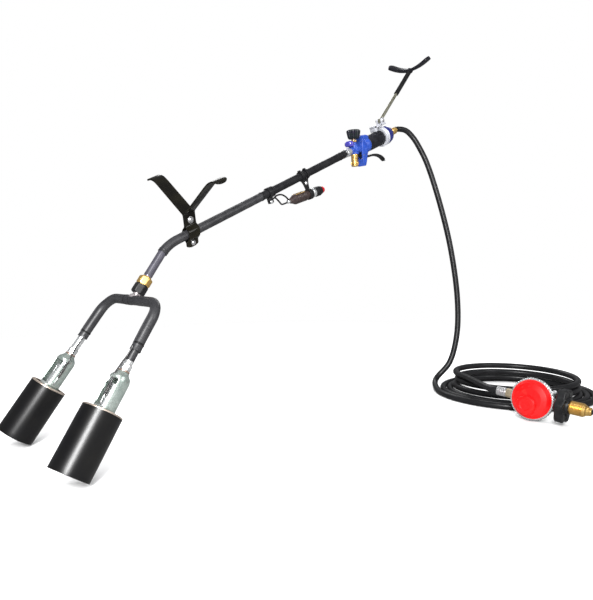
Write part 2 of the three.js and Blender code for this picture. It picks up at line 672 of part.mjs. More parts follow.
// ---------------------------------------------------------------- squeeze valve in the blue casting
const LEVER_PIN = v3(23, 0, -14);
const PLUNGER_AT = 31;
const castingOutline = [
  v2(24, 31), v2(30, 35), v2(40, 34.5), v2(47, 26), v2(45, 4), v2(38.5, -11), v2(34, -29), v2(30.5, -39),
  v2(24, -40), v2(20.5, -33), v2(18.5, -10), v2(CASTING_FRONT, 4), v2(18.5, 14), v2(21, 25),
];
const gripTurn = rad(VALVE_LEAN - HANDLE_TILT);
const gripDirection = v3(Math.cos(gripTurn), 0, -Math.sin(gripTurn));
const gripFront = v3(42.8, 0, 12.7); // on the grip's axis, at the back of the casting
const GRIP_FROM = 3; // from there to the front of the grip
const onGrip = (distance) => gripFront.clone().addScaledVector(gripDirection, distance);
part(valve, "handle_casting", cut(
  joined(plateXZ(castingOutline, -11, 11), bar(onGrip(-12), onGrip(GRIP_FROM), 16, 16)),
  bar(onGrip(GRIP_FROM - GAP), onGrip(60), 30, 12),
  block(LEVER_PIN.x - 6, 70, -6.4, 6.4, -23, -5.5),
  barY(LEVER_PIN.x, LEVER_PIN.z, -20, 20, 2.3, 10),
  barZ(PLUNGER_AT, 0, -7, 5, 2.8, 10),
  barZ(PLUNGER_AT, 0, 2, 45, 5, 12),
  bar(onGrip(-1), onGrip(6), GAS_TUBE_RADIUS + GAP, 12),
), blueCasting);
part(valve, "bore_plug", barZ(PLUNGER_AT, 0, 27, 34.4, 4.7, 12), blueCasting);
part(valve, "valve_plunger", joined(
  barZ(PLUNGER_AT, 0, LEVER_PIN.z + 3.8, 3, 2.5, 10),
  barZ(PLUNGER_AT, 0, 2.3, 5.5, 4.5, 12),
), steel);
part(valve, "return_spring", coilSpring(3.4, 0.6, 9, 26.7, 4).translate(PLUNGER_AT, 0, 0), steel);
part(valve, "lever_pin", barY(LEVER_PIN.x, LEVER_PIN.z, -11, 11, 2, 10), steel);

// The lever: an eye round the pin, then a strip that rises a little and hooks down at its tip.
const leverLine = new THREE.CatmullRomCurve3([
  v3(LEVER_PIN.x, LEVER_PIN.z, 0), v3(44, -15.6, 0), v3(64, -11.4, 0), v3(84, -10.2, 0), v3(101, -14, 0),
  v3(LEVER_PIN.x + LEVER_REACH, -22, 0),
]).getPoints(9).map((point) => v2(point.x, point.y));
part(valve, "lever", cut(
  joined(
    plateXZ(strapOutline(leverLine, 5), -6, 6),
    barY(LEVER_PIN.x, LEVER_PIN.z, -6, 6, 3.5, 12),
    block(LEVER_PIN.x, PLUNGER_AT + 4, -6, 6, LEVER_PIN.z - 3.5, LEVER_PIN.z + 3.5),
  ),
  barY(LEVER_PIN.x, LEVER_PIN.z, -9, 9, 2.15, 10),
), satinBlack);

// ---------------------------------------------------------------- handle
// In the handle's frame +X runs back along the grip.
const handle = group(valve, gripFront, [0, VALVE_LEAN - HANDLE_TILT, 0]);
const GRIP_TO = GRIP_FROM + GRIP_LENGTH;
const BAND_TO = GRIP_TO + 12;
const CAP_TO = BAND_TO + 28;
const FITTING_TO = CAP_TO + 10;
const FERRULE_TO = FITTING_TO + 16;
part(handle, "gas_tube", ringX(4.5, GAS_TUBE_RADIUS, -0.6, CAP_TO + 3, 12), brass);
part(handle, "grip", ringX(GAS_TUBE_RADIUS + GAP, GRIP_RADIUS, GRIP_FROM, GRIP_TO, 24), rubber);
part(handle, "grip_band", ringX(GAS_TUBE_RADIUS + GAP, BAND_RADIUS, GRIP_TO + GAP, BAND_TO, 20), brightZinc);
part(handle, "end_cap", turnedX([
  [GAS_TUBE_RADIUS + GAP, BAND_TO + GAP], [CAP_RADIUS, BAND_TO + GAP], [CAP_RADIUS, BAND_TO + 11],
  [20.5, BAND_TO + 19], [15, BAND_TO + 25], [9.5, CAP_TO], [GAS_TUBE_RADIUS + GAP, CAP_TO],
  [GAS_TUBE_RADIUS + GAP, BAND_TO + GAP],
], 20), darkBlue);
part(handle, "inlet_fitting", cut(
  joined(
    hexagonX(16, CAP_TO + GAP, FITTING_TO - 3),
    barX(FITTING_TO - 4, FERRULE_TO, HOSE_RADIUS + 1.8, 16),
  ),
  barX(CAP_TO - 1, CAP_TO + 3.3, GAS_TUBE_RADIUS + GAP, 12),
  barX(FITTING_TO + 0.7, FERRULE_TO + 1, HOSE_RADIUS + GAP, 16),
  barX(CAP_TO - 1, FITTING_TO + 1, 3, 8),
), brass);

// ---------------------------------------------------------------- arm rest behind the handle
// A bridge stands on the grip and the band; its ears carry the rod's eye.
const bridgeTop = REST_PIVOT.z - 5;
part(handle, "rest_bracket", cut(
  joined(
    block(42, 50, -9, 9, GRIP_RADIUS - 3, bridgeTop),
    block(GRIP_TO + 2, BAND_TO - 1, -9, 9, BAND_RADIUS - 3, bridgeTop),
    block(42, REST_PIVOT.x + 9, -9, 9, bridgeTop - 6, bridgeTop),
    block(REST_PIVOT.x - 6, REST_PIVOT.x + 6, -9, -4.6, bridgeTop - 3, REST_PIVOT.z + 6),
    block(REST_PIVOT.x - 6, REST_PIVOT.x + 6, 4.6, 9, bridgeTop - 3, REST_PIVOT.z + 6),
  ),
  barX(38, GRIP_TO, GRIP_RADIUS + GAP, 24),
  barX(GRIP_TO - 1, BAND_TO + 20, BAND_RADIUS + 2 * GAP, 20),
  block(REST_PIVOT.x - 9, REST_PIVOT.x + 9.5, -4.6, 4.6, bridgeTop - 1.6, bridgeTop + 3),
  barY(REST_PIVOT.x, REST_PIVOT.z, -12, 12, 2.3, 12),
), brightZinc);
addBolt(handle, "rest_pivot_bolt", REST_PIVOT.x, REST_PIVOT.z, 9 + GAP, 2, 4);

// In the rod's frame +X runs up the rod from its pivot.
const rest = group(handle, REST_PIVOT, [0, -REST_ROD_ANGLE, 0]);
part(rest, "rest_rod", cut(
  joined(barX(0, 150, 3.9, 12), barY(0, 0, -4.2, 4.2, 5.4, 12)),
  barY(0, 0, -9, 9, 2.2, 10),
), zinc);

// The black tube slides on the rod. Its strap is level across the handle's axis, so the two meet at a slant.
const cradleLine = Array.from({ length: 11 }, (_, i) => {
  const across = -CRADLE_HALF_SPAN + (CRADLE_HALF_SPAN * 2 * i) / 10;
  const rise = across > 0 ? CRADLE_LEFT_RISE : CRADLE_RISE;
  return v2(across, rise * Math.pow(Math.abs(across) / CRADLE_HALF_SPAN, 1.8));
});
const cradleStrap = plateYZ(strapOutline(cradleLine, CRADLE_THICK), -CRADLE_WIDTH / 2, CRADLE_WIDTH / 2)
  .rotateY(rad(REST_ROD_ANGLE))
  .translate(REST_TUBE_TO + 8, 0, 0);
part(rest, "rest_cradle", cut(
  joined(cradleStrap, barX(REST_TUBE_FROM, REST_TUBE_TO + 7, 6, 12)),
  barX(REST_TUBE_FROM - 1, REST_TUBE_TO + 4, 4.2, 12),
), rubber);

// ---------------------------------------------------------------- hose
torch.updateMatrixWorld(true);
const hoseOut = [FITTING_TO + 1, FERRULE_TO, FERRULE_TO + 12].map((x) => handle.localToWorld(v3(x, 0, 0)));

// The regulator's frame: +X along the inlet, +Z out of the cover, +Y up.
const regulator = group(torch, REGULATOR_AT);
const inletDirection = v3(
  Math.sin(rad(REGULATOR_YAW)), -Math.cos(rad(REGULATOR_YAW)), -Math.sin(rad(INLET_DROP)),
).normalize();
const upward = v3(0, 0, 1).addScaledVector(inletDirection, -inletDirection.z).normalize();
const levelFace = inletDirection.clone().cross(upward);
const coverFace = levelFace.multiplyScalar(Math.cos(rad(REGULATOR_LEAN)))
  .addScaledVector(upward, Math.sin(rad(REGULATOR_LEAN)));
const faceUp = coverFace.clone().cross(inletDirection);
regulator.quaternion.setFromRotationMatrix(new THREE.Matrix4().makeBasis(inletDirection, faceUp, coverFace));
torch.updateMatrixWorld(true);
const OUTLET_NUT_TO = -56;
const OUTLET_NUT_FROM = -43;
const WHEEL_FROM = 47;
const WHEEL_TO = 65;
const OUTLET_AXIS = -9; // depth of the pipe axis behind the cover's joint
const FERRULE_BACK = OUTLET_NUT_TO - 20;
const hoseIn = [FERRULE_BACK - 12, FERRULE_BACK, OUTLET_NUT_TO - 1].map(
  (x) => regulator.localToWorld(v3(x, 0, OUTLET_AXIS)),
);

// A point of the coil, by its angle in degrees: anticlockwise from above, 270 is its front.
function coilPoint(angle) {
  const yaw = -rad(COIL_YAW);
  const inward = (Math.min(angle, COIL_IN_TO) - COIL_FIRST) / 360;
  const wander = 0.025 * Math.sin(rad((angle - COIL_IN_TO) * 0.7));
  const spread = COIL_OUTER - 0.1 * inward + (angle > COIL_IN_TO ? wander : 0);
  const wide = COIL_WIDE * spread * Math.cos(rad(angle));
  const deep = COIL_DEEP * spread * Math.sin(rad(angle));
  const rise = HOSE_RADIUS + (COIL_PITCH * Math.max(angle - COIL_RISE_FROM, 0)) / 360;
  return v3(
    COIL_CENTRE.x + wide * Math.cos(yaw) - deep * Math.sin(yaw),
    COIL_CENTRE.y + wide * Math.sin(yaw) + deep * Math.cos(yaw),
    rise,
  );
}
const COIL_POINTS = 128;
const coilAngles = Array.from(
  { length: COIL_POINTS + 1 }, (_, i) => COIL_FIRST + ((COIL_LAST - COIL_FIRST) * i) / COIL_POINTS,
);
const HOSE_STEPS = 174;
const HOSE_END_RUN = 44; // straight run kept at each end of the hose
const hoseFall = [
  v3(1216, -12, 664), v3(1231, -25, 646), v3(1242, -41, 614), v3(1252, -56, 576), v3(1266, -88, 470),
  v3(1274, -118, 350), v3(1274, -140, 220), v3(1262, -147, 130), v3(1240, -141, 62), v3(1208, -122, 20),
];
const hoseBetween = new THREE.CatmullRomCurve3(
  [...hoseOut, ...hoseFall, ...coilAngles.map(coilPoint), ...hoseIn], false, "centripetal",
);
const hoseRun = hoseBetween.getSpacedPoints(HOSE_STEPS).filter(
  (point) => point.distanceTo(hoseOut[0]) > HOSE_END_RUN && point.distanceTo(hoseIn[2]) > HOSE_END_RUN,
);
part(torch, "hose", pipe([...hoseOut, ...hoseRun, ...hoseIn], HOSE_RADIUS, 7), rubber);

// ---------------------------------------------------------------- regulator
const R = REGULATOR_RADIUS;
const pipeAxis = (geometry) => geometry.translate(0, 0, OUTLET_AXIS);
part(regulator, "rear_ferrule", pipeAxis(
  ringX(HOSE_RADIUS + GAP, HOSE_RADIUS + 2.4, FERRULE_BACK, OUTLET_NUT_TO - GAP, 16),
), brightZinc);
part(regulator, "swivel_nut", pipeAxis(cut(
  hexagonX(17, OUTLET_NUT_TO, OUTLET_NUT_FROM),
  barX(OUTLET_NUT_FROM - 8, OUTLET_NUT_FROM + 1, 6.3, 12),
  barX(OUTLET_NUT_TO - 1, OUTLET_NUT_FROM, 3, 12),
)), brass);
part(regulator, "regulator_body", cut(
  joined(
    turned([[0, -24], [17, -24], [25, -20], [33, -6], [R - 2, -2], [R, 0], [R, 3], [0, 3]], 20),
    pipeAxis(barX(OUTLET_NUT_FROM - 7, 0, 5.8, 12)),
    pipeAxis(barX(OUTLET_NUT_FROM + GAP, -20, 10, 12)),
    pipeAxis(barX(20, WHEEL_FROM - 5, 9.5, 12)),
    pipeAxis(barX(WHEEL_FROM - 6, WHEEL_FROM - 1, 11, 12)),
    bar(v3(R - 12, 19, 0), v3(R + 3, 25, 0), 2.8, 8),
  ),
  turned([[0, -14], [16, -14], [34, 4], [0, 4]], 12),
), zinc);
part(regulator, "diaphragm", barZ(0, 0, 3 + GAP, 4.6, R - 3, 20), rubber);
const BOSS = v2(-5, -12);
part(regulator, "regulator_cover", cut(
  joined(
    turned([[0, 5], [R - 2, 5], [R - 2, 8], [R - 5, 10], [R - 10, 15], [R - 20, 17.5], [0, 18]], 20),
    turned([[0, 10], [19, 10], [19, 20.5], [16, 24], [0, 24.5]], 16).translate(BOSS.x, BOSS.y, 0),
  ),
  turned([[0, 4], [R - 9, 4], [R - 9, 7], [R - 14, 13], [0, 15]], 12),
  barZ(BOSS.x, BOSS.y, 4, 21, 12.5, 12),
), redPaint);
part(regulator, "control_spring", coilSpring(9, 1.1, 6, 20.5, 3).translate(BOSS.x, BOSS.y, 0), steel);

const lobes = 6;
const wheelOutline = Array.from({ length: 36 }, (_, i) => {
  const angle = (2 * Math.PI * i) / 36;
  return v2(32.5 + 3 * Math.cos(lobes * angle), 0).rotateAround(v2(0, 0), angle);
});
const wheel = new THREE.ExtrudeGeometry(
  new THREE.Shape(wheelOutline), { depth: WHEEL_TO - WHEEL_FROM, bevelEnabled: false },
).rotateY(Math.PI / 2).translate(WHEEL_FROM, 0, 0);
part(regulator, "handwheel", pipeAxis(cut(
  joined(wheel, barX(WHEEL_FROM, WHEEL_TO + 4, 18, 14)),
  hexagonX(20.8, WHEEL_FROM - 1, WHEEL_TO + 5),
)), blackPlastic);
part(regulator, "inlet_nut", pipeAxis(cut(
  joined(
    hexagonX(20, WHEEL_FROM, WHEEL_TO + 5),
    barX(WHEEL_TO + 4, 92, 13.4, 14),
    bar(v3(92, 0, 0), v3(97.5, 0, 0), 13.4, 14, 10.8),
  ),
  barX(WHEEL_FROM - 1, 99, 4.9, 12),
)), brass);
part(regulator, "inlet_nipple", pipeAxis(cut(
  joined(
    barX(WHEEL_FROM - 1 + GAP, 100, 4.4, 12),
    turnedX([[0, 98], [9.4, 98], [9.4, 101], [8.4, 104], [7.8, 108], [5.4, 110], [0, 110]], 12),
  ),
  barX(WHEEL_FROM - 2, 111, 2, 6),
)), brass);

// ---------------------------------------------------------------- the row's origin
// Bottom centre of the whole object's box.
torch.updateMatrixWorld(true);
const whole = new THREE.Box3().setFromObject(torch, true);
const middle = whole.getCenter(v3());
torch.position.set(-middle.x, -middle.y, -whole.min.z);

export default torch;
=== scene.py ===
"""Looks of the twin-head propane torch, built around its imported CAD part."""

import json
import math

import bmesh
import bpy
import numpy as np
from mathutils import Matrix, Vector


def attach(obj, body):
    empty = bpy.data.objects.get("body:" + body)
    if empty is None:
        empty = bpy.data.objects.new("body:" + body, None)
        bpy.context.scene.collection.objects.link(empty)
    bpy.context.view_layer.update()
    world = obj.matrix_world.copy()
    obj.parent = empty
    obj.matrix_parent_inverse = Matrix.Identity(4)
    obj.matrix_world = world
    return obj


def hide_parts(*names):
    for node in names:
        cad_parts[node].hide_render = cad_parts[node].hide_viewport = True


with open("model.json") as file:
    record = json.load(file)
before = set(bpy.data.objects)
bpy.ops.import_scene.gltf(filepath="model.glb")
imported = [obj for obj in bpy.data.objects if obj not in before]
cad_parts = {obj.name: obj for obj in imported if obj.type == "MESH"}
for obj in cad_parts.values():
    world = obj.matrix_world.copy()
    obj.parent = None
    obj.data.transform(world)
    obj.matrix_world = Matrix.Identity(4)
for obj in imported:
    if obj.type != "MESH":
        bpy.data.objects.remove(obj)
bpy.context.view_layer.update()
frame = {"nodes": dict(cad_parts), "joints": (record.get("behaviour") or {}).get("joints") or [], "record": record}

JOINT = {j["name"]: j for j in frame["joints"]}
BODY = {n: b for b, nodes in frame["record"]["behaviour"]["bodies"].items() for n in nodes}

# ------------------------------------------------------------------ local frames, in millimetres
MM = 0.001
BURNER_TILT = 55.0
LANCE_TILT = 25.2
HANDLE_TILT = 24.5
VALVE_LEAN = 5.0
KNOB_ABOVE_AXIS = 30.0
STAND_AT = 57.0
STAND_ROLL = 8.0
STAND_LEAN = 12.5
REGULATOR_LEAN = 8.0
IGNITER_Z = -44.0
IGNITER_TURN = 6.5
CLAMP_AT = 378.0
GAP = 0.3
OUTLET_AXIS = -9.0
WHEEL_AT = 80.0
Y_AXIS = Vector((0, 1, 0))


def rad(degrees):
    return math.radians(degrees)


def turned(degrees, axis):
    return Matrix.Rotation(rad(degrees), 4, axis)


def moved(x, y, z):
    return Matrix.Translation((x, y, z))


def axes_at(origin, x, y, z):
    """A matrix from local millimetres to the row frame's metres."""
    turn = Matrix((x, y, z)).transposed().to_4x4()
    return Matrix.Translation(origin) @ turn @ Matrix.Scale(MM, 4)


def joint_place(name):
    j = JOINT[name]
    return Vector(j.get("pos_m", (0, 0, 0))), Vector(j["axis"]).normalized()


bend, burner_z = joint_place("manifold_swivel")
BURNER = axes_at(bend, Y_AXIS.cross(burner_z), Y_AXIS, burner_z)
lance_x = joint_place("stand_swivel")[1]
LANCE = axes_at(bend, lance_x, Y_AXIS, lance_x.cross(Y_AXIS))
STAND = LANCE @ moved(STAND_AT, 0, 0) @ turned(STAND_ROLL, "X")
IGNITER = (LANCE @ moved(CLAMP_AT, 0, IGNITER_Z) @ turned(IGNITER_TURN, "Y") @ moved(-CLAMP_AT, 0, 0))
knob_at, valve_z = joint_place("flow_knob_turn")
VALVE = axes_at(knob_at - valve_z * KNOB_ABOVE_AXIS * MM, Y_AXIS.cross(valve_z), Y_AXIS, valve_z)
GRIP_FRONT = (42.8, 0, 12.7)
HANDLE = VALVE @ Matrix.Translation(GRIP_FRONT) @ turned(VALVE_LEAN - HANDLE_TILT, "Y")
rest_at = joint_place("rest_fold")[0]
rest_x = joint_place("rest_extend")[1]
REST = axes_at(rest_at, rest_x, Y_AXIS, rest_x.cross(Y_AXIS))
wheel_at, inlet_x = joint_place("handwheel_spin")
up = (Vector((0, 0, 1)) - inlet_x * inlet_x.z).normalized()
cover_z = inlet_x.cross(up) * math.cos(rad(REGULATOR_LEAN)) + up * math.sin(rad(REGULATOR_LEAN))
REGULATOR = axes_at(wheel_at, inlet_x, cover_z.cross(inlet_x), cover_z) @ moved(-WHEEL_AT, 0, -OUTLET_AXIS)
ROW = Matrix.Scale(MM, 4)


def along_x(frame_matrix, z=0.0):
    """The frame turned so that a part turned about Z lies along X, at height z."""
    return frame_matrix @ moved(0, 0, z) @ turned(90, "Y")


def along_y(frame_matrix, x=0.0, z=0.0):
    """The frame turned so that a part turned about Z lies along -Y, at x and z."""
    return frame_matrix @ moved(x, 0, z) @ turned(90, "X")


# ------------------------------------------------------------------ shapes
def fillet(points, radius, steps=4, closed=False):
    """A 2-D outline with its corners rounded."""
    pts = [np.array(p, float) for p in points]
    out = []
    for i, p in enumerate(pts):
        if not closed and i in (0, len(pts) - 1):
            out.append(p)
            continue
        a, b = pts[i - 1] - p, pts[(i + 1) % len(pts)] - p
        la, lb = np.linalg.norm(a), np.linalg.norm(b)
        if la < 1e-6 or lb < 1e-6:
            out.append(p)
            continue
        a, b = a / la, b / lb
        half = math.acos(np.clip(a @ b, -1, 1)) / 2
        if half > rad(88):
            out.append(p)
            continue
        reach = min(radius / math.tan(half), 0.45 * la, 0.45 * lb)
        for k in range(steps + 1):
            t = k / steps
            out.append((1 - t) ** 2 * (p + a * reach) + 2 * t * (1 - t) * p + t * t * (p + b * reach))
    return np.array(out)


def ellipse(sides):
    t = np.linspace(0, 2 * np.pi, sides, endpoint=False)
    return np.cos(t), np.sin(t), t


def lathe(profile, sides=72, reach=None):
    """Rings of a profile of (radius, height) turned about Z; reach(angles, height) scales the radius."""
    c, s, t = ellipse(sides)
    rings = []
    for r, z in profile:
        k = np.ones_like(t) if reach is None else reach(t, z)
        rings.append(np.stack([r * k * c, r * k * s, np.full_like(t, z)], 1))
    return np.array(rings)


def hexagon(flats, low, high, chamfer=1.0, sides=72):
    """A hexagonal prism whose ends are chamfered by a cone."""
    c, s, t = ellipse(sides)
    facet = (t + np.pi / 6) % (np.pi / 3) - np.pi / 6
    wide = flats / 2 / np.cos(facet)
    wide = np.minimum(wide, flats / math.sqrt(3) * 0.985)
    corner = flats / math.sqrt(3)
    rings = []
    drop = [1.0, 0.6, 0.3, 0.0]
    ends = [
        (low + (1 - d) * chamfer, d) for d in drop] + [(high - (1 - d) * chamfer, d) for d in drop[::-1]]
    for z, k in ends:
        r = np.minimum(wide, corner - k * (corner - flats / 2 * 0.985))
        rings.append(np.stack([r * c, r * s, np.full_like(t, z)], 1))
    return np.array(rings)


def smooth_path(points, per_span=8):
    """A centripetal Catmull-Rom line through the points."""
    p = [np.array(q, float) for q in points]
    p = [2 * p[0] - p[1]] + p + [2 * p[-1] - p[-2]]
    out = []
    for i in range(1, len(p) - 2):
        d = [max(np.linalg.norm(p[i + k] - p[i + k - 1]), 1e-6) ** 0.5 for k in (0, 1, 2)]
        t1 = (p[i] - p[i - 1]) / d[0] - (p[i + 1] - p[i - 1]) / (d[0] + d[1]) + (p[i + 1] - p[i]) / d[1]
        t2 = (p[i + 1] - p[i]) / d[1] - (p[i + 2] - p[i]) / (d[1] + d[2]) + (p[i + 2] - p[i + 1]) / d[2]
        t1, t2 = t1 * d[1], t2 * d[1]
        c2 = -3 * p[i] + 3 * p[i + 1] - 2 * t1 - t2
        c3 = 2 * p[i] - 2 * p[i + 1] + t1 + t2
        for k in range(per_span):
            u = k / per_span
            out.append(p[i] + t1 * u + c2 * u * u + c3 * u**3)
    out.append(p[-2])
    return np.array(out)


def sweep(path, section, first_side=(0, 0, 1), scale=None):
    """Rings of a 2-D section carried along a path, without twist; scale(distance, total) sizes each ring."""
    path = np.array(path, float)
    tangent = np.gradient(path, axis=0)
    tangent /= np.linalg.norm(tangent, axis=1)[:, None]
    side = np.array(first_side, float)
    lengths = np.concatenate([[0], np.cumsum(np.linalg.norm(np.diff(path, axis=0), axis=1))])
    rings = []
    for i, (p, t) in enumerate(zip(path, tangent)):
        side = side - t * (side @ t)
        side /= np.linalg.norm(side)
        other = np.cross(t, side)
        k = 1.0 if scale is None else scale(lengths[i], lengths[-1])
        pts = section * (k if np.ndim(k) == 0 else np.asarray(k)[:, None])
        rings.append(p + pts[:, :1] * side + pts[:, 1:] * other)
    return np.array(rings)


def disc_section(radius, sides=24):
    c, s, _ = ellipse(sides)
    return np.stack([radius * c, radius * s], 1)


def pipe_line(corners, radius, steps=16):
    """Straight runs joined by round bends."""
    c = [np.array(p, float) for p in corners]
    out = [c[0]]
    for i in range(1, len(c) - 1):
        a, b = c[i - 1] - c[i], c[i + 1] - c[i]
        a, b = a / np.linalg.norm(a), b / np.linalg.norm(b)
        turn = math.pi - math.acos(np.clip(a @ b, -1, 1))
        reach = radius * math.tan(turn / 2)
        start = c[i] + a * reach
        middle = c[i] + (a + b) / np.linalg.norm(a + b) * radius / math.cos(turn / 2)
        x = (start - middle) / radius
        y = -a
        for k in range(steps + 1):
            w = turn * k / steps
            out.append(middle + radius * (x * math.cos(w) + y * math.sin(w)))
    out.append(c[-1])
    return np.array(out)


def fine(path, step=3.0):
    """The same line with points at most step apart."""
    out = [path[0]]
    for a, b in zip(path[:-1], path[1:]):
        n = max(1, int(math.ceil(np.linalg.norm(b - a) / step)))
        out += [a + (b - a) * k / n for k in range(1, n + 1)]
    return np.array(out)


def slab(outline, low, high, bevel=1.0, steps=3):
    """An outline in XY given thickness along Z, with rounded rims."""
    pts = np.array(outline, float)
    before, after = np.roll(pts, 1, 0), np.roll(pts, -1, 0)
    t = after - before
    t /= np.maximum(np.linalg.norm(t, axis=1)[:, None], 1e-9)
    area = np.sum(pts[:, 0] * after[:, 1] - after[:, 0] * pts[:, 1])
    inward = np.stack([-t[:, 1], t[:, 0]], 1) * (1 if area > 0 else -1)
    rings = []
    quarter = [math.pi / 2 * k / steps for k in range(steps + 1)]
    for w in quarter:
        rings.append((bevel * (1 - math.sin(w)), low + bevel * (1 - math.cos(w))))
    for w in quarter[::-1]:
        rings.append((bevel * (1 - math.sin(w)), high - bevel * (1 - math.cos(w))))
    return np.array([np.column_stack([pts + inward * d, np.full(len(pts), z)]) for d, z in rings])


def rounded_box(x0, x1, y0, y1, z0, z1, bevel=0.8):
    return slab(fillet([(x0, y0), (x1, y0), (x1, y1), (x0, y1)], bevel * 1.3, 3, True), z0, z1, bevel)


def strap(middle, width, thick, foot=4.0, toe=8.0, edge=0.7):
    """A bent flat strap: rings round a middle line in YZ, width along X, its ends rounded."""
    line = fine(np.column_stack([np.zeros(len(middle)), middle]), 2.0)
    t = np.gradient(line, axis=0)
    t /= np.linalg.norm(t, axis=1)[:, None]
    dist = np.concatenate([[0], np.cumsum(np.linalg.norm(np.diff(line, axis=0), axis=1))])
    h, w = thick / 2, width / 2
    section = fillet([(-w, -h), (w, -h), (w, h), (-w, h)], edge, 3, True)
    rings = []
    for p, d, s in zip(line, t, dist):
        near = min((s + 0.3) / foot, 1.0)
        far = min((dist[-1] - s + 0.3) / toe, 1.0)
        k = math.sqrt(1 - (1 - near) ** 2) * math.sqrt(1 - (1 - far) ** 2)
        normal = np.array([0, -d[2], d[1]])
        rings.append(
            p + np.outer(section[:, 0] * max(k, 0.15), (1, 0, 0)) + np.outer(section[:, 1], normal))
    return np.array(rings)


class Shape:
    """Faces gathered from lofted rings; the grain map runs round and along the rings, in millimetres."""

    def __init__(self, place):
        self.place = place
        self.verts, self.faces, self.maps, self.mats = [], [], [], []

    def loft(self, rings, place=None, caps=(True, True), loop=False, mat=0, skip=None):
        m = np.array(self.place if place is None else place, float)
        n, k = rings.shape[:2]
        base = len(self.verts)
        flat = rings.reshape(-1, 3)
        self.verts += list(flat @ m[:3, :3].T + m[:3, 3])
        rows = np.concatenate([rings, rings[:1]]) if loop else rings
        along = np.concatenate([[0], np.cumsum(np.linalg.norm(np.diff(rows, axis=0), axis=2).mean(1))])
        widest = rings[np.argmax(np.linalg.norm(rings - rings.mean(1, keepdims=True), axis=2).mean(1))]
        steps = np.linalg.norm(np.roll(widest, -1, 0) - widest, axis=1)
        around = np.concatenate([[0], np.cumsum(steps)])
        turned_in = np.linalg.det(m[:3, :3]) < 0
        for i in range(n if loop else n - 1):
            j = (i + 1) % n
            for a in range(k):
                b = (a + 1) % k
                if skip is not None and skip((rings[i, a] + rings[j, b]) / 2):
                    continue
                face = [base + i * k + a, base + i * k + b, base + j * k + b, base + j * k + a]
                uv = [
                    (around[a], along[i]), (around[a + 1], along[i]), (around[a + 1], along[i + 1]),
                    (around[a], along[i + 1])]
                self._face(face, uv, mat(i) if callable(mat) else mat, turned_in)
        if not loop:
            for end, row, flip in ((0, 0, True), (1, n - 1, False)):
                if not caps[end]:
                    continue
                ring = rings[row]
                spread = np.linalg.norm(ring - ring.mean(0), axis=1).max()
                if spread < 1e-4:
                    continue
                face = [base + row * k + a for a in range(k)]
                uv = [(ring[a][0] + ring[a][2], ring[a][1]) for a in range(k)]
                if flip:
                    face, uv = face[::-1], uv[::-1]
                self._face(face, uv, mat(row) if callable(mat) else mat, turned_in)
        return self

    def turn(self, outline, corner, sides, place=None, steps=4, closed=False, reach=None, **how):
        """Lofts an outline of (radius, height), its corners rounded, turned about Z."""
        return self.loft(lathe(fillet(outline, corner, steps, closed), sides, reach), place, **how)

    def _face(self, face, uv, mat, turned_in):
        self.faces.append(face[::-1] if turned_in else face)
        self.maps.append(uv[::-1] if turned_in else uv)
        self.mats.append(mat)

    def tube(self, points, radius, place=None, sides=16, smooth=True, mat=0, scale=None, side=(0, 0.1, 1)):
        path = smooth_path(points) if smooth else np.array(points, float)
        return self.loft(sweep(path, disc_section(radius, sides), side, scale), place, mat=mat)


def piece(name, shape, materials, *nodes, body=None, sharp=32.0, solidify=None):
    """Makes the object, lets it ride on the body of the CAD nodes it stands for, and hides those nodes."""
    mesh = bpy.data.meshes.new(name)
    bm = bmesh.new()
    verts = [bm.verts.new(v) for v in shape.verts]
    uv_layer = bm.loops.layers.uv.new("grain")
    for face, uv, mat in zip(shape.faces, shape.maps, shape.mats):
        try:
            f = bm.faces.new([verts[i] for i in face])
        except ValueError:
            continue
        f.smooth = True
        f.material_index = mat
        for corner, place in zip(f.loops, uv):
            corner[uv_layer].uv = place
    bmesh.ops.remove_doubles(bm, verts=bm.verts, dist=1e-6)
    loose = [v for v in bm.verts if not v.link_faces]
    bmesh.ops.delete(bm, geom=loose, context="VERTS")
    for edge in bm.edges:
        if len(edge.link_faces) == 2 and edge.calc_face_angle(0) > rad(sharp):
            edge.smooth = False
    bm.to_mesh(mesh)
    bm.free()
    obj = bpy.data.objects.new(name, mesh)
    bpy.context.scene.collection.objects.link(obj)
    for m in materials if isinstance(materials, (list, tuple)) else [materials]:
        mesh.materials.append(m)
    if solidify:
        thick = obj.modifiers.new("thickness", "SOLIDIFY")
        thick.thickness = solidify * MM
        thick.offset = 0
        thick.use_even_offset = True
    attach(obj, body or BODY[nodes[0]])
    if nodes:
        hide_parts(*nodes)
    return obj


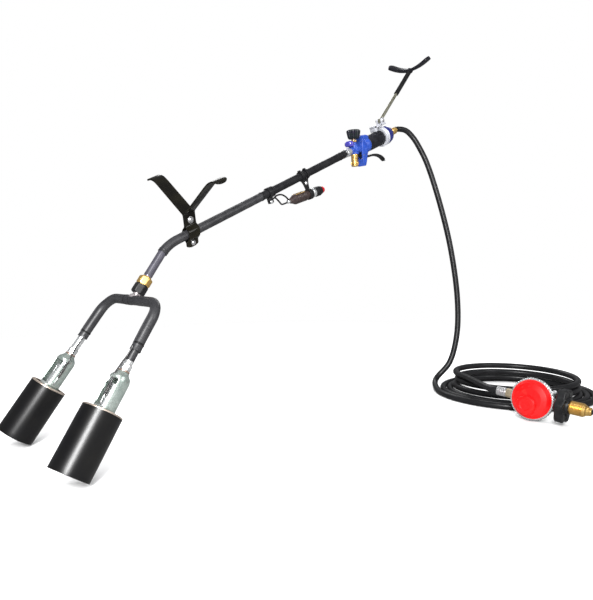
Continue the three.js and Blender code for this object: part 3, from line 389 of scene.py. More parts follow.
# ------------------------------------------------------------------ materials
class Graph:
    """A material's nodes, wired by short calls."""

    def __init__(self, name):
        self.material = bpy.data.materials.new(name)
        self.material.use_nodes = True
        self.tree = self.material.node_tree
        self.surface = self.tree.nodes["Principled BSDF"]

    def put(self, socket, value):
        if isinstance(value, bpy.types.NodeSocket):
            self.tree.links.new(value, socket)
        elif hasattr(socket.default_value, "__len__") and not hasattr(value, "__len__"):
            socket.default_value = [value] * len(socket.default_value)
        elif hasattr(value, "__len__") and len(value) == 3 and len(socket.default_value) == 4:
            socket.default_value = (*value, 1.0)
        else:
            socket.default_value = value

    def node(self, kind, out=0, settings=None, **inputs):
        n = self.tree.nodes.new(kind)
        for key, value in (settings or {}).items():
            setattr(n, key, value)
        for key, value in inputs.items():
            self.put(
                n.inputs[int(key[1:]) if key[0] == "_" and key[1:].isdigit() else key.replace("_", " ")],
                value)
        return n.outputs[out]

    def space(self, kind="Object", scale=(1000, 1000, 1000)):
        place = self.tree.nodes.new("ShaderNodeTexCoord").outputs[kind]
        return self.node("ShaderNodeMapping", Vector=place, Scale=scale)

    def noise(self, where, scale, detail=4.0, rough=0.55):
        return self.node("ShaderNodeTexNoise", Vector=where, Scale=scale, Detail=detail, Roughness=rough)

    def ramp(self, value, low, high, to_low=0.0, to_high=1.0):
        return self.node("ShaderNodeMapRange", _0=value, _1=low, _2=high, _3=to_low, _4=to_high)

    def mix(self, share, a, b):
        n = self.tree.nodes.new("ShaderNodeMix")
        n.data_type = "RGBA"
        self.put(n.inputs[0], share)
        self.put(n.inputs[6], a)
        self.put(n.inputs[7], b)
        return n.outputs[2]

    def math(self, kind, a, b=0.0):
        return self.node("ShaderNodeMath", settings={"operation": kind}, _0=a, _1=b)

    def set(self, **inputs):
        for key, value in inputs.items():
            self.put(self.surface.inputs[key.replace("_", " ")], value)


def finish(name, colour, shade, rough, metal=0.0, cloud=0.05, grain=1.2, grain_bump=0.15, lines=None,
           line_bump=0.0, wear=None, wear_from=0.56, coat=0.0, spots=None, spec=0.5):
    """A painted, moulded, turned or plated surface.

    colour and shade are mixed by a slow noise; grain is fine noise per millimetre in roughness and bump;
    lines is (round, along) stretch of the grain map for turning or brushing marks; wear is the colour of
    rubbed edges; spots is (colour, share) for stains."""
    g = Graph(name)
    place = g.space()
    slow = g.noise(place, cloud, 3.0)
    quick = g.noise(place, grain, 5.0, 0.65)
    paint = g.mix(g.ramp(slow, 0.35, 0.68), colour, shade)
    rough_low, rough_high = rough
    rough_out = g.ramp(quick, 0.3, 0.7, rough_low, rough_high)
    height = g.math("MULTIPLY", quick, 0.6)
    if lines:
        marks = g.noise(g.space("UV", (lines[0], lines[1], 1)), 1.0, 4.0, 0.7)
        paint = g.mix(g.ramp(marks, 0.35, 0.75, 0.0, 0.35), paint, shade)
        rough_out = g.math("ADD", rough_out, g.ramp(marks, 0.3, 0.7, -0.06, 0.08))
        height = g.math("ADD", height, g.math("MULTIPLY", marks, line_bump))
    if spots:
        stain = g.ramp(g.noise(place, 0.16, 6.0, 0.7), 0.62 - spots[1], 0.74)
        paint = g.mix(stain, paint, spots[0])
    metal_out = metal
    if wear:
        edge = g.node("ShaderNodeNewGeometry", 7)
        rubbed = g.math(
            "MULTIPLY", g.ramp(edge, wear_from, wear_from + 0.06),
            g.ramp(g.noise(place, 0.7, 4.0), 0.38, 0.55))
        paint = g.mix(rubbed, paint, wear)
        metal_out = g.math("MAXIMUM", g.math("MULTIPLY", rubbed, 0.8), metal)
    bump = g.node("ShaderNodeBump", Strength=grain_bump, Distance=0.0002, Height=height)
    g.set(Base_Color=paint, Roughness=rough_out, Metallic=metal_out, Normal=bump)
    g.set(Specular_IOR_Level=spec)
    if coat:
        g.set(Coat_Weight=coat, Coat_Roughness=0.06)
    return g.material


TURNED = (0.02, 2.2)
CUP_BLACK = finish(
    "cup_black", (0.002, 0.002, 0.0025), (0.004, 0.0038, 0.0035), (0.29, 0.34), 0.0, 0.02, 0.5, 0.03,
    wear=(0.12, 0.115, 0.11), wear_from=0.62, spec=0.4)
CUP_INSIDE = finish(
    "cup_soot", (0.02, 0.018, 0.016), (0.05, 0.045, 0.04), (0.7, 0.9), 0.1, 0.06, 0.8, 0.5, spec=0.2)
CUP_RIM = finish(
    "cup_rim_metal", (0.62, 0.53, 0.45), (0.42, 0.35, 0.3), (0.3, 0.5), 0.85, 0.08, 1.5, 0.2, TURNED, 0.6)
GLOSS_BLACK = finish(
    "gloss_black_paint", (0.006, 0.006, 0.0065), (0.012, 0.012, 0.012), (0.18, 0.3), 0.0, 0.03, 0.7, 0.12,
    wear=(0.35, 0.34, 0.32), wear_from=0.62, spec=0.2)
# Black stand paint; the olive tint of both tones is painted highlight colour, and the rubbed edges are wear tinted
# olive-beige like that painted highlight.
STAND_BLACK_PAINTED_SHEEN = finish(
    "stand_black_painted_sheen", (0.004, 0.0037, 0.003), (0.009, 0.0082, 0.005), (0.16, 0.28), 0.1, 0.03, 0.8, 0.1,
    wear=(0.4, 0.38, 0.3), wear_from=0.63, spec=0.25)
SATIN_BLACK = finish(
    "satin_black_steel", (0.008, 0.008, 0.009), (0.016, 0.0155, 0.0155), (0.3, 0.46), 0.1, 0.08, 1.3, 0.25,
    wear=(0.3, 0.29, 0.27), wear_from=0.6, spec=0.2)
SLEEVE = finish(
    "dark_sleeve", (0.014, 0.014, 0.016), (0.026, 0.026, 0.028), (0.36, 0.48), 0.0, 0.06, 2.2, 0.5,
    (0.5, 0.05), 0.5, spec=0.5)
SLEEVE_BLACK = finish(
    "black_sleeve", (0.006, 0.006, 0.007), (0.013, 0.013, 0.014), (0.3, 0.45), 0.0, 0.06, 2.2, 0.4,
    (0.5, 0.05), 0.4, spec=0.2)
SHRINK = finish(
    "shrunk_sleeve", (0.062, 0.06, 0.076), (0.04, 0.038, 0.05), (0.32, 0.46), 0.15, 0.05, 1.0, 0.15,
    (0.4, 0.03), 0.3, spec=0.5)
PIPE_METAL = finish(
    "bare_pipe", (0.2, 0.19, 0.24), (0.12, 0.115, 0.145), (0.26, 0.4), 0.7, 0.05, 1.0, 0.1, (0.4, 0.03),
    0.3, spots=((0.1, 0.095, 0.11), 0.02))
ZINC = finish(
    "zinc_plate", (0.62, 0.7, 0.65), (0.42, 0.5, 0.46), (0.2, 0.36), 0.85, 0.09, 1.1, 0.18,
    spots=((0.56, 0.56, 0.42), 0.03), wear=(0.85, 0.86, 0.85), wear_from=0.58)
ROD_METAL = finish(
    "rest_rod_steel", (0.42, 0.41, 0.32), (0.27, 0.265, 0.2), (0.22, 0.36), 0.85, 0.06, 1.1, 0.15, TURNED,
    0.3)
BRIGHT = finish(
    "bright_zinc", (0.88, 0.89, 0.89), (0.68, 0.7, 0.71), (0.18, 0.32), 0.85, 0.1, 1.4, 0.12, TURNED, 0.4)
PINKISH = finish(
    "plated_nipple", (0.8, 0.74, 0.74), (0.56, 0.51, 0.53), (0.2, 0.34), 0.85, 0.1, 1.2, 0.12, TURNED, 0.4)
BRASS = finish(
    "brass", (0.76, 0.5, 0.16), (0.56, 0.35, 0.11), (0.22, 0.38), 0.85, 0.09, 1.3, 0.14, TURNED, 0.5,
    wear=(0.95, 0.8, 0.5), wear_from=0.57, spots=((0.42, 0.28, 0.12), 0.015))
COPPER = finish(
    "copper_ring", (0.68, 0.5, 0.42), (0.5, 0.33, 0.25), (0.24, 0.4), 0.9, 0.1, 1.3, 0.14, TURNED, 0.4)
STEEL = finish(
    "bolt_steel", (0.66, 0.66, 0.66), (0.45, 0.45, 0.46), (0.22, 0.4), 0.85, 0.12, 1.5, 0.15, TURNED, 0.4,
    wear=(0.85, 0.85, 0.85), wear_from=0.57)
BLUE = finish(
    "blue_casting", (0.02, 0.062, 0.33), (0.014, 0.044, 0.25), (0.26, 0.44), 0.0, 0.08, 0.9, 0.25,
    wear=(0.14, 0.22, 0.62), wear_from=0.58, spec=0.35)
PURPLE_CAP = finish(
    "purple_cap", (0.06, 0.055, 0.36), (0.035, 0.03, 0.22), (0.2, 0.34), 0.1, 0.09, 1.0, 0.2, coat=0.3)
CAP_BLUE = finish(
    "end_cap_blue", (0.016, 0.022, 0.15), (0.008, 0.012, 0.085), (0.18, 0.32), 0.0, 0.05, 1.4, 0.15,
    wear=(0.06, 0.08, 0.26), wear_from=0.58, coat=0.3)
BAND_METAL = finish(
    "band_metal", (0.66, 0.67, 0.71), (0.52, 0.53, 0.58), (0.34, 0.5), 0.45, 0.05, 1.1, 0.1, TURNED, 0.2)
NUT_METAL = finish(
    "dull_brass", (0.62, 0.52, 0.36), (0.45, 0.37, 0.25), (0.26, 0.4), 0.85, 0.09, 1.3, 0.14, TURNED, 0.4)
BLACK_PLASTIC = finish(
    "black_moulding", (0.007, 0.007, 0.008), (0.014, 0.014, 0.0145), (0.3, 0.46), 0.0, 0.1, 2.4, 0.35,
    wear=(0.05, 0.05, 0.05), wear_from=0.58, spec=0.2)
# Black knob moulding; its violet and green tones are painted sheen, standing for coloured reflections on the black
# plastic.
KNOB_BLACK_PAINTED_SHEEN = finish(
    "knob_moulding_painted_sheen", (0.012, 0.009, 0.02), (0.008, 0.016, 0.012), (0.26, 0.42), 0.0, 0.16, 2.4, 0.35,
    wear=(0.05, 0.05, 0.06), wear_from=0.58, spec=0.25)
BROWN = finish(
    "igniter_brown", (0.02, 0.013, 0.013), (0.042, 0.028, 0.026), (0.3, 0.46), 0.0, 0.12, 1.8, 0.3,
    wear=(0.3, 0.2, 0.14), wear_from=0.57, spec=0.4)
RED_BUTTON = finish(
    "red_button", (0.42, 0.006, 0.012), (0.26, 0.004, 0.008), (0.16, 0.28), 0.0, 0.1, 1.2, 0.15, coat=0.3)
RED = finish(
    "red_enamel", (0.64, 0.003, 0.003), (0.52, 0.002, 0.003), (0.3, 0.46), 0.0, 0.03, 0.8, 0.22,
    wear=(0.8, 0.05, 0.04), wear_from=0.58, spec=0.25)
HOSE = finish(
    "hose_rubber", (0.005, 0.005, 0.0055), (0.011, 0.011, 0.012), (0.26, 0.4), 0.0, 0.02, 1.6, 0.3,
    (0.35, 0.12), 0.6, spec=0.22)
RUBBER = finish(
    "grip_rubber", (0.006, 0.006, 0.008), (0.013, 0.013, 0.017), (0.3, 0.48), 0.0, 0.06, 2.6, 0.4, spec=0.2)
CERAMIC = finish(
    "dark_ceramic", (0.012, 0.012, 0.013), (0.04, 0.038, 0.036), (0.22, 0.36), 0.0, 0.1, 1.5, 0.2, coat=0.2)
LEAD_BLACK = finish(
    "lead_black", (0.006, 0.006, 0.0065), (0.012, 0.012, 0.012), (0.3, 0.45), 0.0, 0.1, 2.0, 0.2, spec=0.2)

# ------------------------------------------------------------------ burner heads
MOUTH = -406.0
CUP_LENGTH = 100.0
CUP_REAR = MOUTH + CUP_LENGTH
CAGE_TOP = CUP_REAR + 63
JET_TOP = CUP_REAR + 82
CUP_R = 31.75
CUP_WALL = 1.5
BAR = -118.6
HEAD_OFFSET = 95.0
HEAD_SPLAY = 5.5
CAGE_TURN = 20.0


def on_arm(sign, z):
    """A point of one arm's axis, by its height in the arm's own frame."""
    down = BAR - z
    return (
        0, sign * (HEAD_OFFSET + down * math.sin(rad(HEAD_SPLAY))), BAR - down * math.cos(rad(HEAD_SPLAY)))


def weld_line(angle, height, width):
    return lambda t, z: 1 + height / CUP_R * np.exp(
        -(((t - angle + np.pi) % (2 * np.pi) - np.pi) * CUP_R / width) ** 2)


for side, sign, rod_r, rod_angle in (("left", 1, 20.4, 262.0), ("right", -1, 13.2, 200.0)):
    arm = BURNER @ moved(0, sign * HEAD_OFFSET, BAR) @ turned(sign * HEAD_SPLAY, "X")
    head = arm @ moved(0, 0, -BAR)
    turned_head = head @ turned(CAGE_TURN, "Z")
    inner = CUP_R - CUP_WALL
    outside = fillet([(inner, MOUTH), (CUP_R, MOUTH), (CUP_R, CUP_REAR - 2.6)], 0.6, 4)
    outside = np.concatenate(
        [outside[:-1], [(CUP_R, MOUTH + CUP_LENGTH * k / 12) for k in range(1, 12)], outside[-1:]])
    cup = Shape(head)
    cup.loft(lathe(outside, 192, weld_line(0.5, 0.35, 1.3)), caps=(False, False))
    rim = fillet(
        [(CUP_R, CUP_REAR - 2.6), (CUP_R, CUP_REAR - 1), (CUP_R - 1.6, CUP_REAR), (inner - 5, CUP_REAR),
        (inner - 5, CUP_REAR - 1.8), (inner, CUP_REAR - 3)], 0.5, 4)
    cup.loft(lathe(rim, 192), caps=(False, False), mat=1)
    inside = [(inner, CUP_REAR - 3 - (CUP_LENGTH - 3) * k / 12) for k in range(13)]
    cup.loft(lathe(inside, 192), caps=(False, False), mat=2)
    piece(f"look_{side}_cup", cup, [CUP_BLACK, CUP_RIM, CUP_INSIDE], f"{side}_burner_cup")

    plate = CUP_REAR - 5.6
    cage = Shape(turned_head)
    disc = fillet([(10.5, plate + 0.8), (20, plate + 0.8), (29, plate + 0.8)], 0.1, 1)
    cage.loft(lathe(disc, 80), caps=(False, False))
    wall = [
        (16.2, plate + 1.0), (16.2, CUP_REAR + 4), (16.2, CUP_REAR + 12), (16.2, CUP_REAR + 22),
        (16.2, CUP_REAR + 32), (16.2, CUP_REAR + 42)]
    shoulder = fillet(
        [(16.2, CUP_REAR + 42), (16.2, CAGE_TOP - 15), (14.6, CAGE_TOP - 9), (9, CAGE_TOP - 2.5),
        (8.4, CAGE_TOP)], 3.0, 5)
    wall = np.concatenate([wall, shoulder[1:]])
    low, high = CUP_REAR + 4, CAGE_TOP - 13
    cage.loft(lathe(wall, 80), caps=(False, False), skip=lambda c: abs(c[1]) < 9.5 and low < c[2] < high)
    piece(f"look_{side}_cage", cage, ZINC, f"{side}_air_cage", solidify=1.6)

    mixing = Shape(turned_head)
    tube_z = [
        CUP_REAR - 46 + k for k in (0, 1, 6, 12, 20, 28, 36, 44)] + [CAGE_TOP - 40 + 2 * k
        for k in range(0, 10)]
    slots = [k * math.pi / 3 for k in range(6)]

    def in_slot(c):
        turn = math.atan2(c[1], c[0])
        near = min(abs((turn - a + math.pi) % (2 * math.pi) - math.pi) for a in slots)
        return near < rad(10) and CAGE_TOP - 39 < c[2] < CAGE_TOP - 26.5

    mixing.loft(lathe([(8.6, z) for z in tube_z], 80), caps=(False, False), skip=in_slot)
    holder = lathe([(r, CUP_REAR - 38) for r in (8.6, 11, 13, 16, 19, 22, 26)], 80)
    mixing.loft(
        holder, caps=(False, False), skip=lambda c: 12 < math.hypot(c[0], c[1]) < 22 and math.atan2(c[1],
        c[0]) % (math.pi / 4) < 0.3)
    piece(f"look_{side}_mixing_tube", mixing, BRIGHT, f"{side}_mixing_tube", solidify=1.8)

    jet = Shape(head)
    jet.loft(hexagon(15, CAGE_TOP + 2.6, JET_TOP - 6, 1.2))
    jet.turn(
        [(6.6, CAGE_TOP - 0.2), (9.2, CAGE_TOP), (9.2, CAGE_TOP + 2.4), (6.6, CAGE_TOP + 2.6)], 0.5, 72,
        mat=1)
    jet.turn(
        [(6, JET_TOP - 7), (7.2, JET_TOP - 6.4), (7.2, JET_TOP - 4), (6.9, JET_TOP - 3.6),
        (7.2, JET_TOP - 3.2), (7.2, JET_TOP), (6.9, JET_TOP)], 0.3, 72)
    piece(f"look_{side}_jet", jet, [BRIGHT, COPPER], f"{side}_jet_nipple")

    rod_place = head @ turned(rod_angle, "Z") @ moved(rod_r, 0, 0)
    rod_place = rod_place @ turned(180, "Z")
    inwards = rod_r - 9.6
    rod = Shape(rod_place)
    barrel = [(0.1, CUP_REAR + 20), (2.4, CUP_REAR + 20)]
    for k in range(6):
        barrel += [
            (2.6, CUP_REAR + 21 + 3 * k), (2.6, CUP_REAR + 22.6 + 3 * k), (2.2, CUP_REAR + 23.3 + 3 * k)]
    barrel += [(2.2, CUP_REAR + 39), (0.1, CUP_REAR + 39)]
    rod.loft(lathe(barrel, 24))
    rod.tube(
        [(0, 0, CUP_REAR + 21), (0, 0, CUP_REAR + 10), (1.5, 0, CUP_REAR + 6), (4, 0, CUP_REAR + 5)], 1.0,
        mat=1)
    rod.tube(
        [(0, 0, CUP_REAR + 38), (-0.5, 0, CUP_REAR + 46), (-2, 1, CUP_REAR + 55),
        (inwards * 0.2, 2, CUP_REAR + 66), (inwards * 0.7, 2, CUP_REAR + 76),
        (inwards + 0.8, 1, CUP_REAR + 90), (inwards, 0, CUP_REAR + 104)], 1.3, sides=12)
    ear = fillet([(-4, 40), (3, 40), (3, 47), (0, 51), (-4, 48)], 1.5, 3, True)
    ear_place = rod_place @ moved(0, 0, CUP_REAR) @ turned(90, "X")
    rod.loft(slab(ear, -5.2, -3.8, 0.4), ear_place, mat=2)
    piece(f"look_{side}_electrode", rod, [CERAMIC, STEEL, BRIGHT], f"{side}_electrode")

# ------------------------------------------------------------------ manifold and union
MANIFOLD_BEND = 34.0
SLEEVE_FOOT = CUP_REAR + 100
SLEEVE_R = 8.7
PIPE_R = 6.85
NIPPLE_TOP = -105.0
UNION_SPLIT = -87.0
UNION_HEX = 22
LEAD_R = 1.5

manifold = Shape(BURNER)
corners = [on_arm(1, JET_TOP + 0.3), on_arm(1, BAR), on_arm(-1, BAR), on_arm(-1, JET_TOP + 0.3)]
rings = sweep(fine(pipe_line(corners, MANIFOLD_BEND), 6), disc_section(PIPE_R, 32), (1, 0, 0))
ends = 5
manifold.loft(rings[:ends + 1], caps=(True, False), mat=2)
manifold.loft(rings[ends:-ends], caps=(False, False))
manifold.loft(rings[-ends - 1:], caps=(False, True), mat=3)
saddle = fillet(
    [(10.2, BAR + 2), (9.4, BAR + 7.6), (7.0, BAR + 9.6), (5.8, BAR + 11), (6.6, BAR + 12),
    (6.6, NIPPLE_TOP)], 1.0, 4)
manifold.loft(lathe(saddle, 48), mat=1)
piece("look_manifold", manifold, [PIPE_METAL, PINKISH, BRIGHT, SLEEVE], "manifold_pipe")


def flared(ends=(3.0, 3.0), lip=0.07, ripple=0.012):
    """Sleeve radius along its length: flared ends and slow ripples."""
    def scale(s, total):
        edge = lip * math.exp(-((s / ends[0]) ** 2)) + lip * math.exp(-(((total - s) / ends[1]) ** 2))
        return 1 + edge + ripple * math.sin(s * 0.19) * math.sin(s * 0.043 + 1.3)
    return scale


BLACK_HALF = 3  # material index of the black stretch


def sleeve_shape(place, path, side, black_from=None):
    """A soft sleeve on a pipe; from one ring onwards it may be black."""
    made = Shape(place)
    rings = sweep(path, disc_section(SLEEVE_R, 40), side, flared())
    split = black_from or len(rings) - 1
    made.loft(rings[:split + 1], caps=(False, False))
    if black_from:
        made.loft(rings[split:], caps=(False, False), mat=BLACK_HALF)
    for row in (0, -1):
        centre = rings[row].mean(0)
        made.loft(np.array([rings[row], centre + (rings[row] - centre) * 0.8]), caps=(False, False))
    return made


def tie(shape, path, index, radius, width=3.0, mat=1, side=(1, 0, 0)):
    """A tight band round a sleeve at one point of its path."""
    t = path[index + 1] - path[index - 1]
    t /= np.linalg.norm(t)
    line = [path[index] + t * width * (k / 6 - 0.5) for k in range(7)]
    bulge = [0.97, 1.0, 1.02, 1.03, 1.02, 1.0, 0.97]
    rings = [sweep(line, disc_section(radius * b, 32), side)[k] for k, b in enumerate(bulge)]
    shape.loft(np.array(rings), mat=mat)


for side, sign, inner_y in (("left", 1, 14.0), ("right", -1, 13.4)):
    corners = [on_arm(sign, SLEEVE_FOOT), on_arm(sign, BAR), (0, inner_y, BAR)]
    path = fine(pipe_line(corners, MANIFOLD_BEND), 3)
    sleeve = sleeve_shape(BURNER, path, (1, 0, 0))
    tie(sleeve, path, 4, SLEEVE_R + 0.5)
    tie(sleeve, path, len(path) - 4, SLEEVE_R + 0.3, 2.2)
    run = [
        p + np.array((-8.6, 0, 0)) + np.array((0, 1, 1)) * 1.1 * math.sin(i * 0.55) for i,
        p in enumerate(path[3:-3:4])]
    sleeve.tube(run, LEAD_R, sides=10, mat=2)
    piece(f"look_{side}_sleeve", sleeve, [SLEEVE, LEAD_BLACK, SLEEVE], f"{side}_manifold_sleeve")

union = Shape(BURNER)
union.loft(hexagon(UNION_HEX, NIPPLE_TOP + GAP, UNION_SPLIT - GAP, 1.4))
piece("look_union_body", union, SATIN_BLACK, "union_body")
nut = Shape(BURNER)
nut.loft(hexagon(UNION_HEX, UNION_SPLIT, -72.5, 1.4))
nut.turn([(7.2, -74), (8.8, -73.6), (8.4, -70.4), (7.2, -70)], 0.5, 48)
piece("look_union_nut", nut, BRASS, "union_nut")

# ------------------------------------------------------------------ lance
LANCE_LENGTH = 531.0
LANCE_BEND = 90.0
LANCE_SLEEVE_FROM = 67.0
LANCE_SLEEVE_THIN_TO = 18.0
LANCE_SLEEVE_GREY_TO = 243.0
LANCE_SLEEVE_TO = 523.0
lower = Vector((-math.cos(rad(BURNER_TILT - LANCE_TILT)), 0, -math.sin(rad(BURNER_TILT - LANCE_TILT))))
line = pipe_line([tuple(lower * 85), (0, 0, 0), (80, 0, 0)], LANCE_BEND, 20)
pipe = Shape(LANCE)
pipe.loft(sweep(fine(line, 5), disc_section(PIPE_R, 48), (0, 1, 0)))
upper = fine(np.array([(80, 0, 0), (LANCE_LENGTH, 0, 0)], float), 8)
pipe.loft(sweep(upper, disc_section(PIPE_R, 48), (0, 1, 0)), mat=1)
piece("look_lance", pipe, [PIPE_METAL, GLOSS_BLACK], "lance_pipe")

path = fine(
    pipe_line([tuple(lower * LANCE_SLEEVE_FROM), (0, 0, 0), (LANCE_SLEEVE_TO, 0, 0)], LANCE_BEND, 20), 3)
grey_end = next(i for i, p in enumerate(path) if p[0] > LANCE_SLEEVE_GREY_TO)
thin_end = next(i for i, p in enumerate(path) if np.linalg.norm(p) < LANCE_SLEEVE_THIN_TO)
sleeve = sleeve_shape(LANCE, path[thin_end:], (0, 1, 0), grey_end - thin_end)
thin = sweep(
    path[:thin_end + 3], disc_section(SLEEVE_R - 1.1, 40), (0, 1, 0), flared((3.0, 0.1), 0.04, 0.006))
sleeve.loft(thin, mat=4)
tie(sleeve, path, thin_end + 2, SLEEVE_R + 0.45, side=(0, 1, 0), mat=0)
tie(sleeve, path, grey_end, SLEEVE_R + 0.5, side=(0, 1, 0))
tie(sleeve, path, len(path) - 5, SLEEVE_R + 0.4, side=(0, 1, 0))
run = [(30 + 9 * k, -5.2 + 0.5 * math.sin(k * 1.1), 6.8 + 0.4 * math.cos(k * 0.9)) for k in range(24)]
sleeve.tube(run, LEAD_R, sides=10, mat=2)
piece("look_lance_sleeve", sleeve, [SLEEVE, LEAD_BLACK, SLEEVE, SLEEVE_BLACK, SHRINK], "lance_sleeve")

# ------------------------------------------------------------------ front V stand
lean = Matrix.Identity(4)
lean[0][2] = math.tan(rad(STAND_LEAN))
LEANED = STAND @ lean


def bolt(place, x, z, reach, shank, head_r):
    """A bolt across Y with a domed head, a washer, a nut and a turned thread."""
    made = Shape(place)
    across = along_y(place, x, z)
    low, high = reach, reach + head_r * 0.5
    made.loft(
        lathe(fillet([(0.05, high + 0.6), (head_r * 0.55, high + 0.5), (head_r * 0.95, low + 0.8),
        (head_r, low + 0.3), (head_r, low)], 0.6)[::-1], 40), across)
    made.turn(
        [(shank, low - 0.1), (head_r * 1.18, low - 0.1), (head_r * 1.18, low + 0.5), (shank, low + 0.5)],
        0.15, 40, across)
    nut_flats = head_r * math.sqrt(3)
    made.loft(hexagon(nut_flats, -reach - head_r * 0.7, -reach - 0.3, 0.5), across)
    thread = [(0.05, -reach - head_r * 0.95), (shank * 0.85, -reach - head_r * 0.95)]
    turns = int((2 * reach + head_r) / 0.7)
    for k in range(turns):
        z0 = -reach - head_r * 0.9 + k * 0.7
        thread += [(shank, z0), (shank * 0.9, z0 + 0.35)]
    thread += [(0.05, thread[-1][1] + 0.2)]
    made.loft(lathe(thread, 24), across)
    return made


def leg_line(sign):
    flat, wrap = 1.8, SLEEVE_R + 0.3 + 1.5 + 0.4
    knee, toe = np.array((75.0, 89.0)), np.array((113.0, 94.0))
    control = np.array((95.0, 103.0))
    curl = [(1 - t) ** 2 * knee + 2 * t * (1 - t) * control + t * t * toe for t in np.linspace(0.15, 1, 9)]
    body_line = fillet(
        [(flat, -25), (flat, -13.5), (wrap, -6.5), (wrap, 6.5), (flat, 14), (flat, 37), (75, 89)], 7, 6)
    points = np.concatenate([body_line[:-1], [knee * 0.97 + np.array((flat, 37)) * 0.03], curl])
    return points * np.array((sign, 1))


for side, sign in (("left", 1), ("right", -1)):
    leg = Shape(LEANED)
    leg.loft(strap(leg_line(sign), 25, 3))
    piece(f"look_{side}_leg", leg, STAND_BLACK_PAINTED_SHEEN, f"{side}_stand_leg")
for name, z, shank, head_r in (("upper", 24.0, 3.0, 5.5), ("lower", -18.5, 2.5, 4.2)):
    x = z * math.tan(rad(STAND_LEAN))
    piece(f"look_stand_{name}_bolt", bolt(STAND, x, z, 3.6, shank, head_r), STEEL, f"stand_{name}_bolt")

# ------------------------------------------------------------------ igniter
IGNITER_FRONT = 315.0
COLLAR_AT = 387.0
KNOB_END = COLLAR_AT + 29

bracket = Shape(LANCE)
for shift in (-8, 8):
    x0, x1 = CLAMP_AT + shift - 3, CLAMP_AT + shift + 3
    bracket.turn(
        [(9.1, x0), (11.2, x0), (11.2, x1), (9.1, x1)], 0.5, 64, along_x(LANCE), steps=3, closed=True,
        loop=True)
    bracket.loft(rounded_box(x0 + 0.3, x1 - 0.3, -3.2, 3.2, 10.2, 13.6, 0.8))
flat_side = LANCE @ turned(90, "X")
web = fillet(
    [(CLAMP_AT - 11, -9.6), (CLAMP_AT + 11, -9.6), (CLAMP_AT + 7, -20), (CLAMP_AT + 5, IGNITER_Z + 10.6),
    (CLAMP_AT - 5, IGNITER_Z + 10.6), (CLAMP_AT - 7, -20)], 1.5, 3, True)
bracket.loft(slab(web, -2, 2, 0.5), flat_side)
bracket.turn(
    [(9.6, CLAMP_AT - 5), (12, CLAMP_AT - 5), (12, CLAMP_AT + 5), (9.6, CLAMP_AT + 5)], 0.5, 64,
    along_x(IGNITER), steps=3, closed=True, loop=True)
piece("look_igniter_bracket", bracket, SATIN_BLACK, "igniter_bracket")
piece("look_igniter_bolt", bolt(LANCE, CLAMP_AT, -18, 2.3, 2, 3.8), STEEL, "igniter_bolt")

TURN_IGNITER = along_x(IGNITER)
body = Shape(IGNITER)
profile = [(0.1, IGNITER_FRONT), (5, IGNITER_FRONT), (6.8, IGNITER_FRONT + 6), (9.8, IGNITER_FRONT + 13)]
for k in range(7):
    z0 = IGNITER_FRONT + 16 + 5 * k
    profile += [(11.2, z0), (11.2, z0 + 2.8), (10, z0 + 3.4), (10, z0 + 4.4)]
profile += [(9.3, CLAMP_AT - 7), (9.3, COLLAR_AT - 0.3), (7.0, COLLAR_AT - 0.3)]
body.turn(profile, 0.5, 72, TURN_IGNITER, steps=3, caps=(True, False))
for angle in (200, 250, 300):
    rib = rounded_box(IGNITER_FRONT + 18, IGNITER_FRONT + 46, -1.1, 1.1, 10.6, 11.9, 0.4)
    body.loft(rib, IGNITER @ turned(angle + 90, "X"), mat=1)
body.turn(
    [(9.0, COLLAR_AT - 4), (10.2, COLLAR_AT - 4), (10.2, COLLAR_AT - 0.6), (9.0, COLLAR_AT - 0.6)], 0.4, 64,
    TURN_IGNITER, mat=2)
piece("look_igniter_body", body, [BROWN, BRASS, BRIGHT], "igniter_body")

knob = Shape(IGNITER)
knob.turn(
    [(8, COLLAR_AT), (10.4, COLLAR_AT), (10.4, COLLAR_AT + 7), (8, COLLAR_AT + 7)], 0.5, 64, TURN_IGNITER,
    steps=3, mat=1)
knob.loft(hexagon(21, COLLAR_AT + 7, KNOB_END - 6, 1.4), TURN_IGNITER)
knob.turn(
    [(8, KNOB_END - 7), (10.4, KNOB_END - 6.5), (9.4, KNOB_END), (8, KNOB_END), (8, KNOB_END - 8)], 0.5, 64,
    TURN_IGNITER, steps=3, caps=(False, False))
piece("look_igniter_knob", knob, [BLACK_PLASTIC, BRIGHT], "igniter_knob")

button = Shape(IGNITER)
button.turn(
    [(5.6, KNOB_END - 15), (7.6, KNOB_END - 15), (7.6, KNOB_END + 6), (6.2, KNOB_END + 9),
    (3, KNOB_END + 8.6), (0.05, KNOB_END + 8.4)], 0.9, 64, TURN_IGNITER)
piece("look_igniter_button", button, RED_BUTTON, "igniter_button")

leads = Shape(LANCE)
lead_x, _, lead_z = LANCE.inverted() @ IGNITER @ Vector((IGNITER_FRONT - 2, 0, 1))
leads.tube(
    [(262, -2.6, -14), (272, -2.6, -14.5), (284, -3, -12), (297, -3, -15), (307, -3, -24),
    (lead_x, -2, lead_z)], 1.8, sides=12)
leads.tube(
    [(262, 2.6, -15), (272, 2.6, -16), (282, 3, -16), (289, 3, -26), (294, 3, -35), (303, 3, -37),
    (lead_x, 2, lead_z - 2)], 1.8, sides=12)
leads.turn(
    [(2.4, IGNITER_FRONT - 6), (4.2, IGNITER_FRONT - 5), (4.4, IGNITER_FRONT - 0.3),
    (2, IGNITER_FRONT - 0.3)], 0.5, 40, TURN_IGNITER, mat=1)
piece("look_igniter_leads", leads, [LEAD_BLACK, BRIGHT], "igniter_leads")

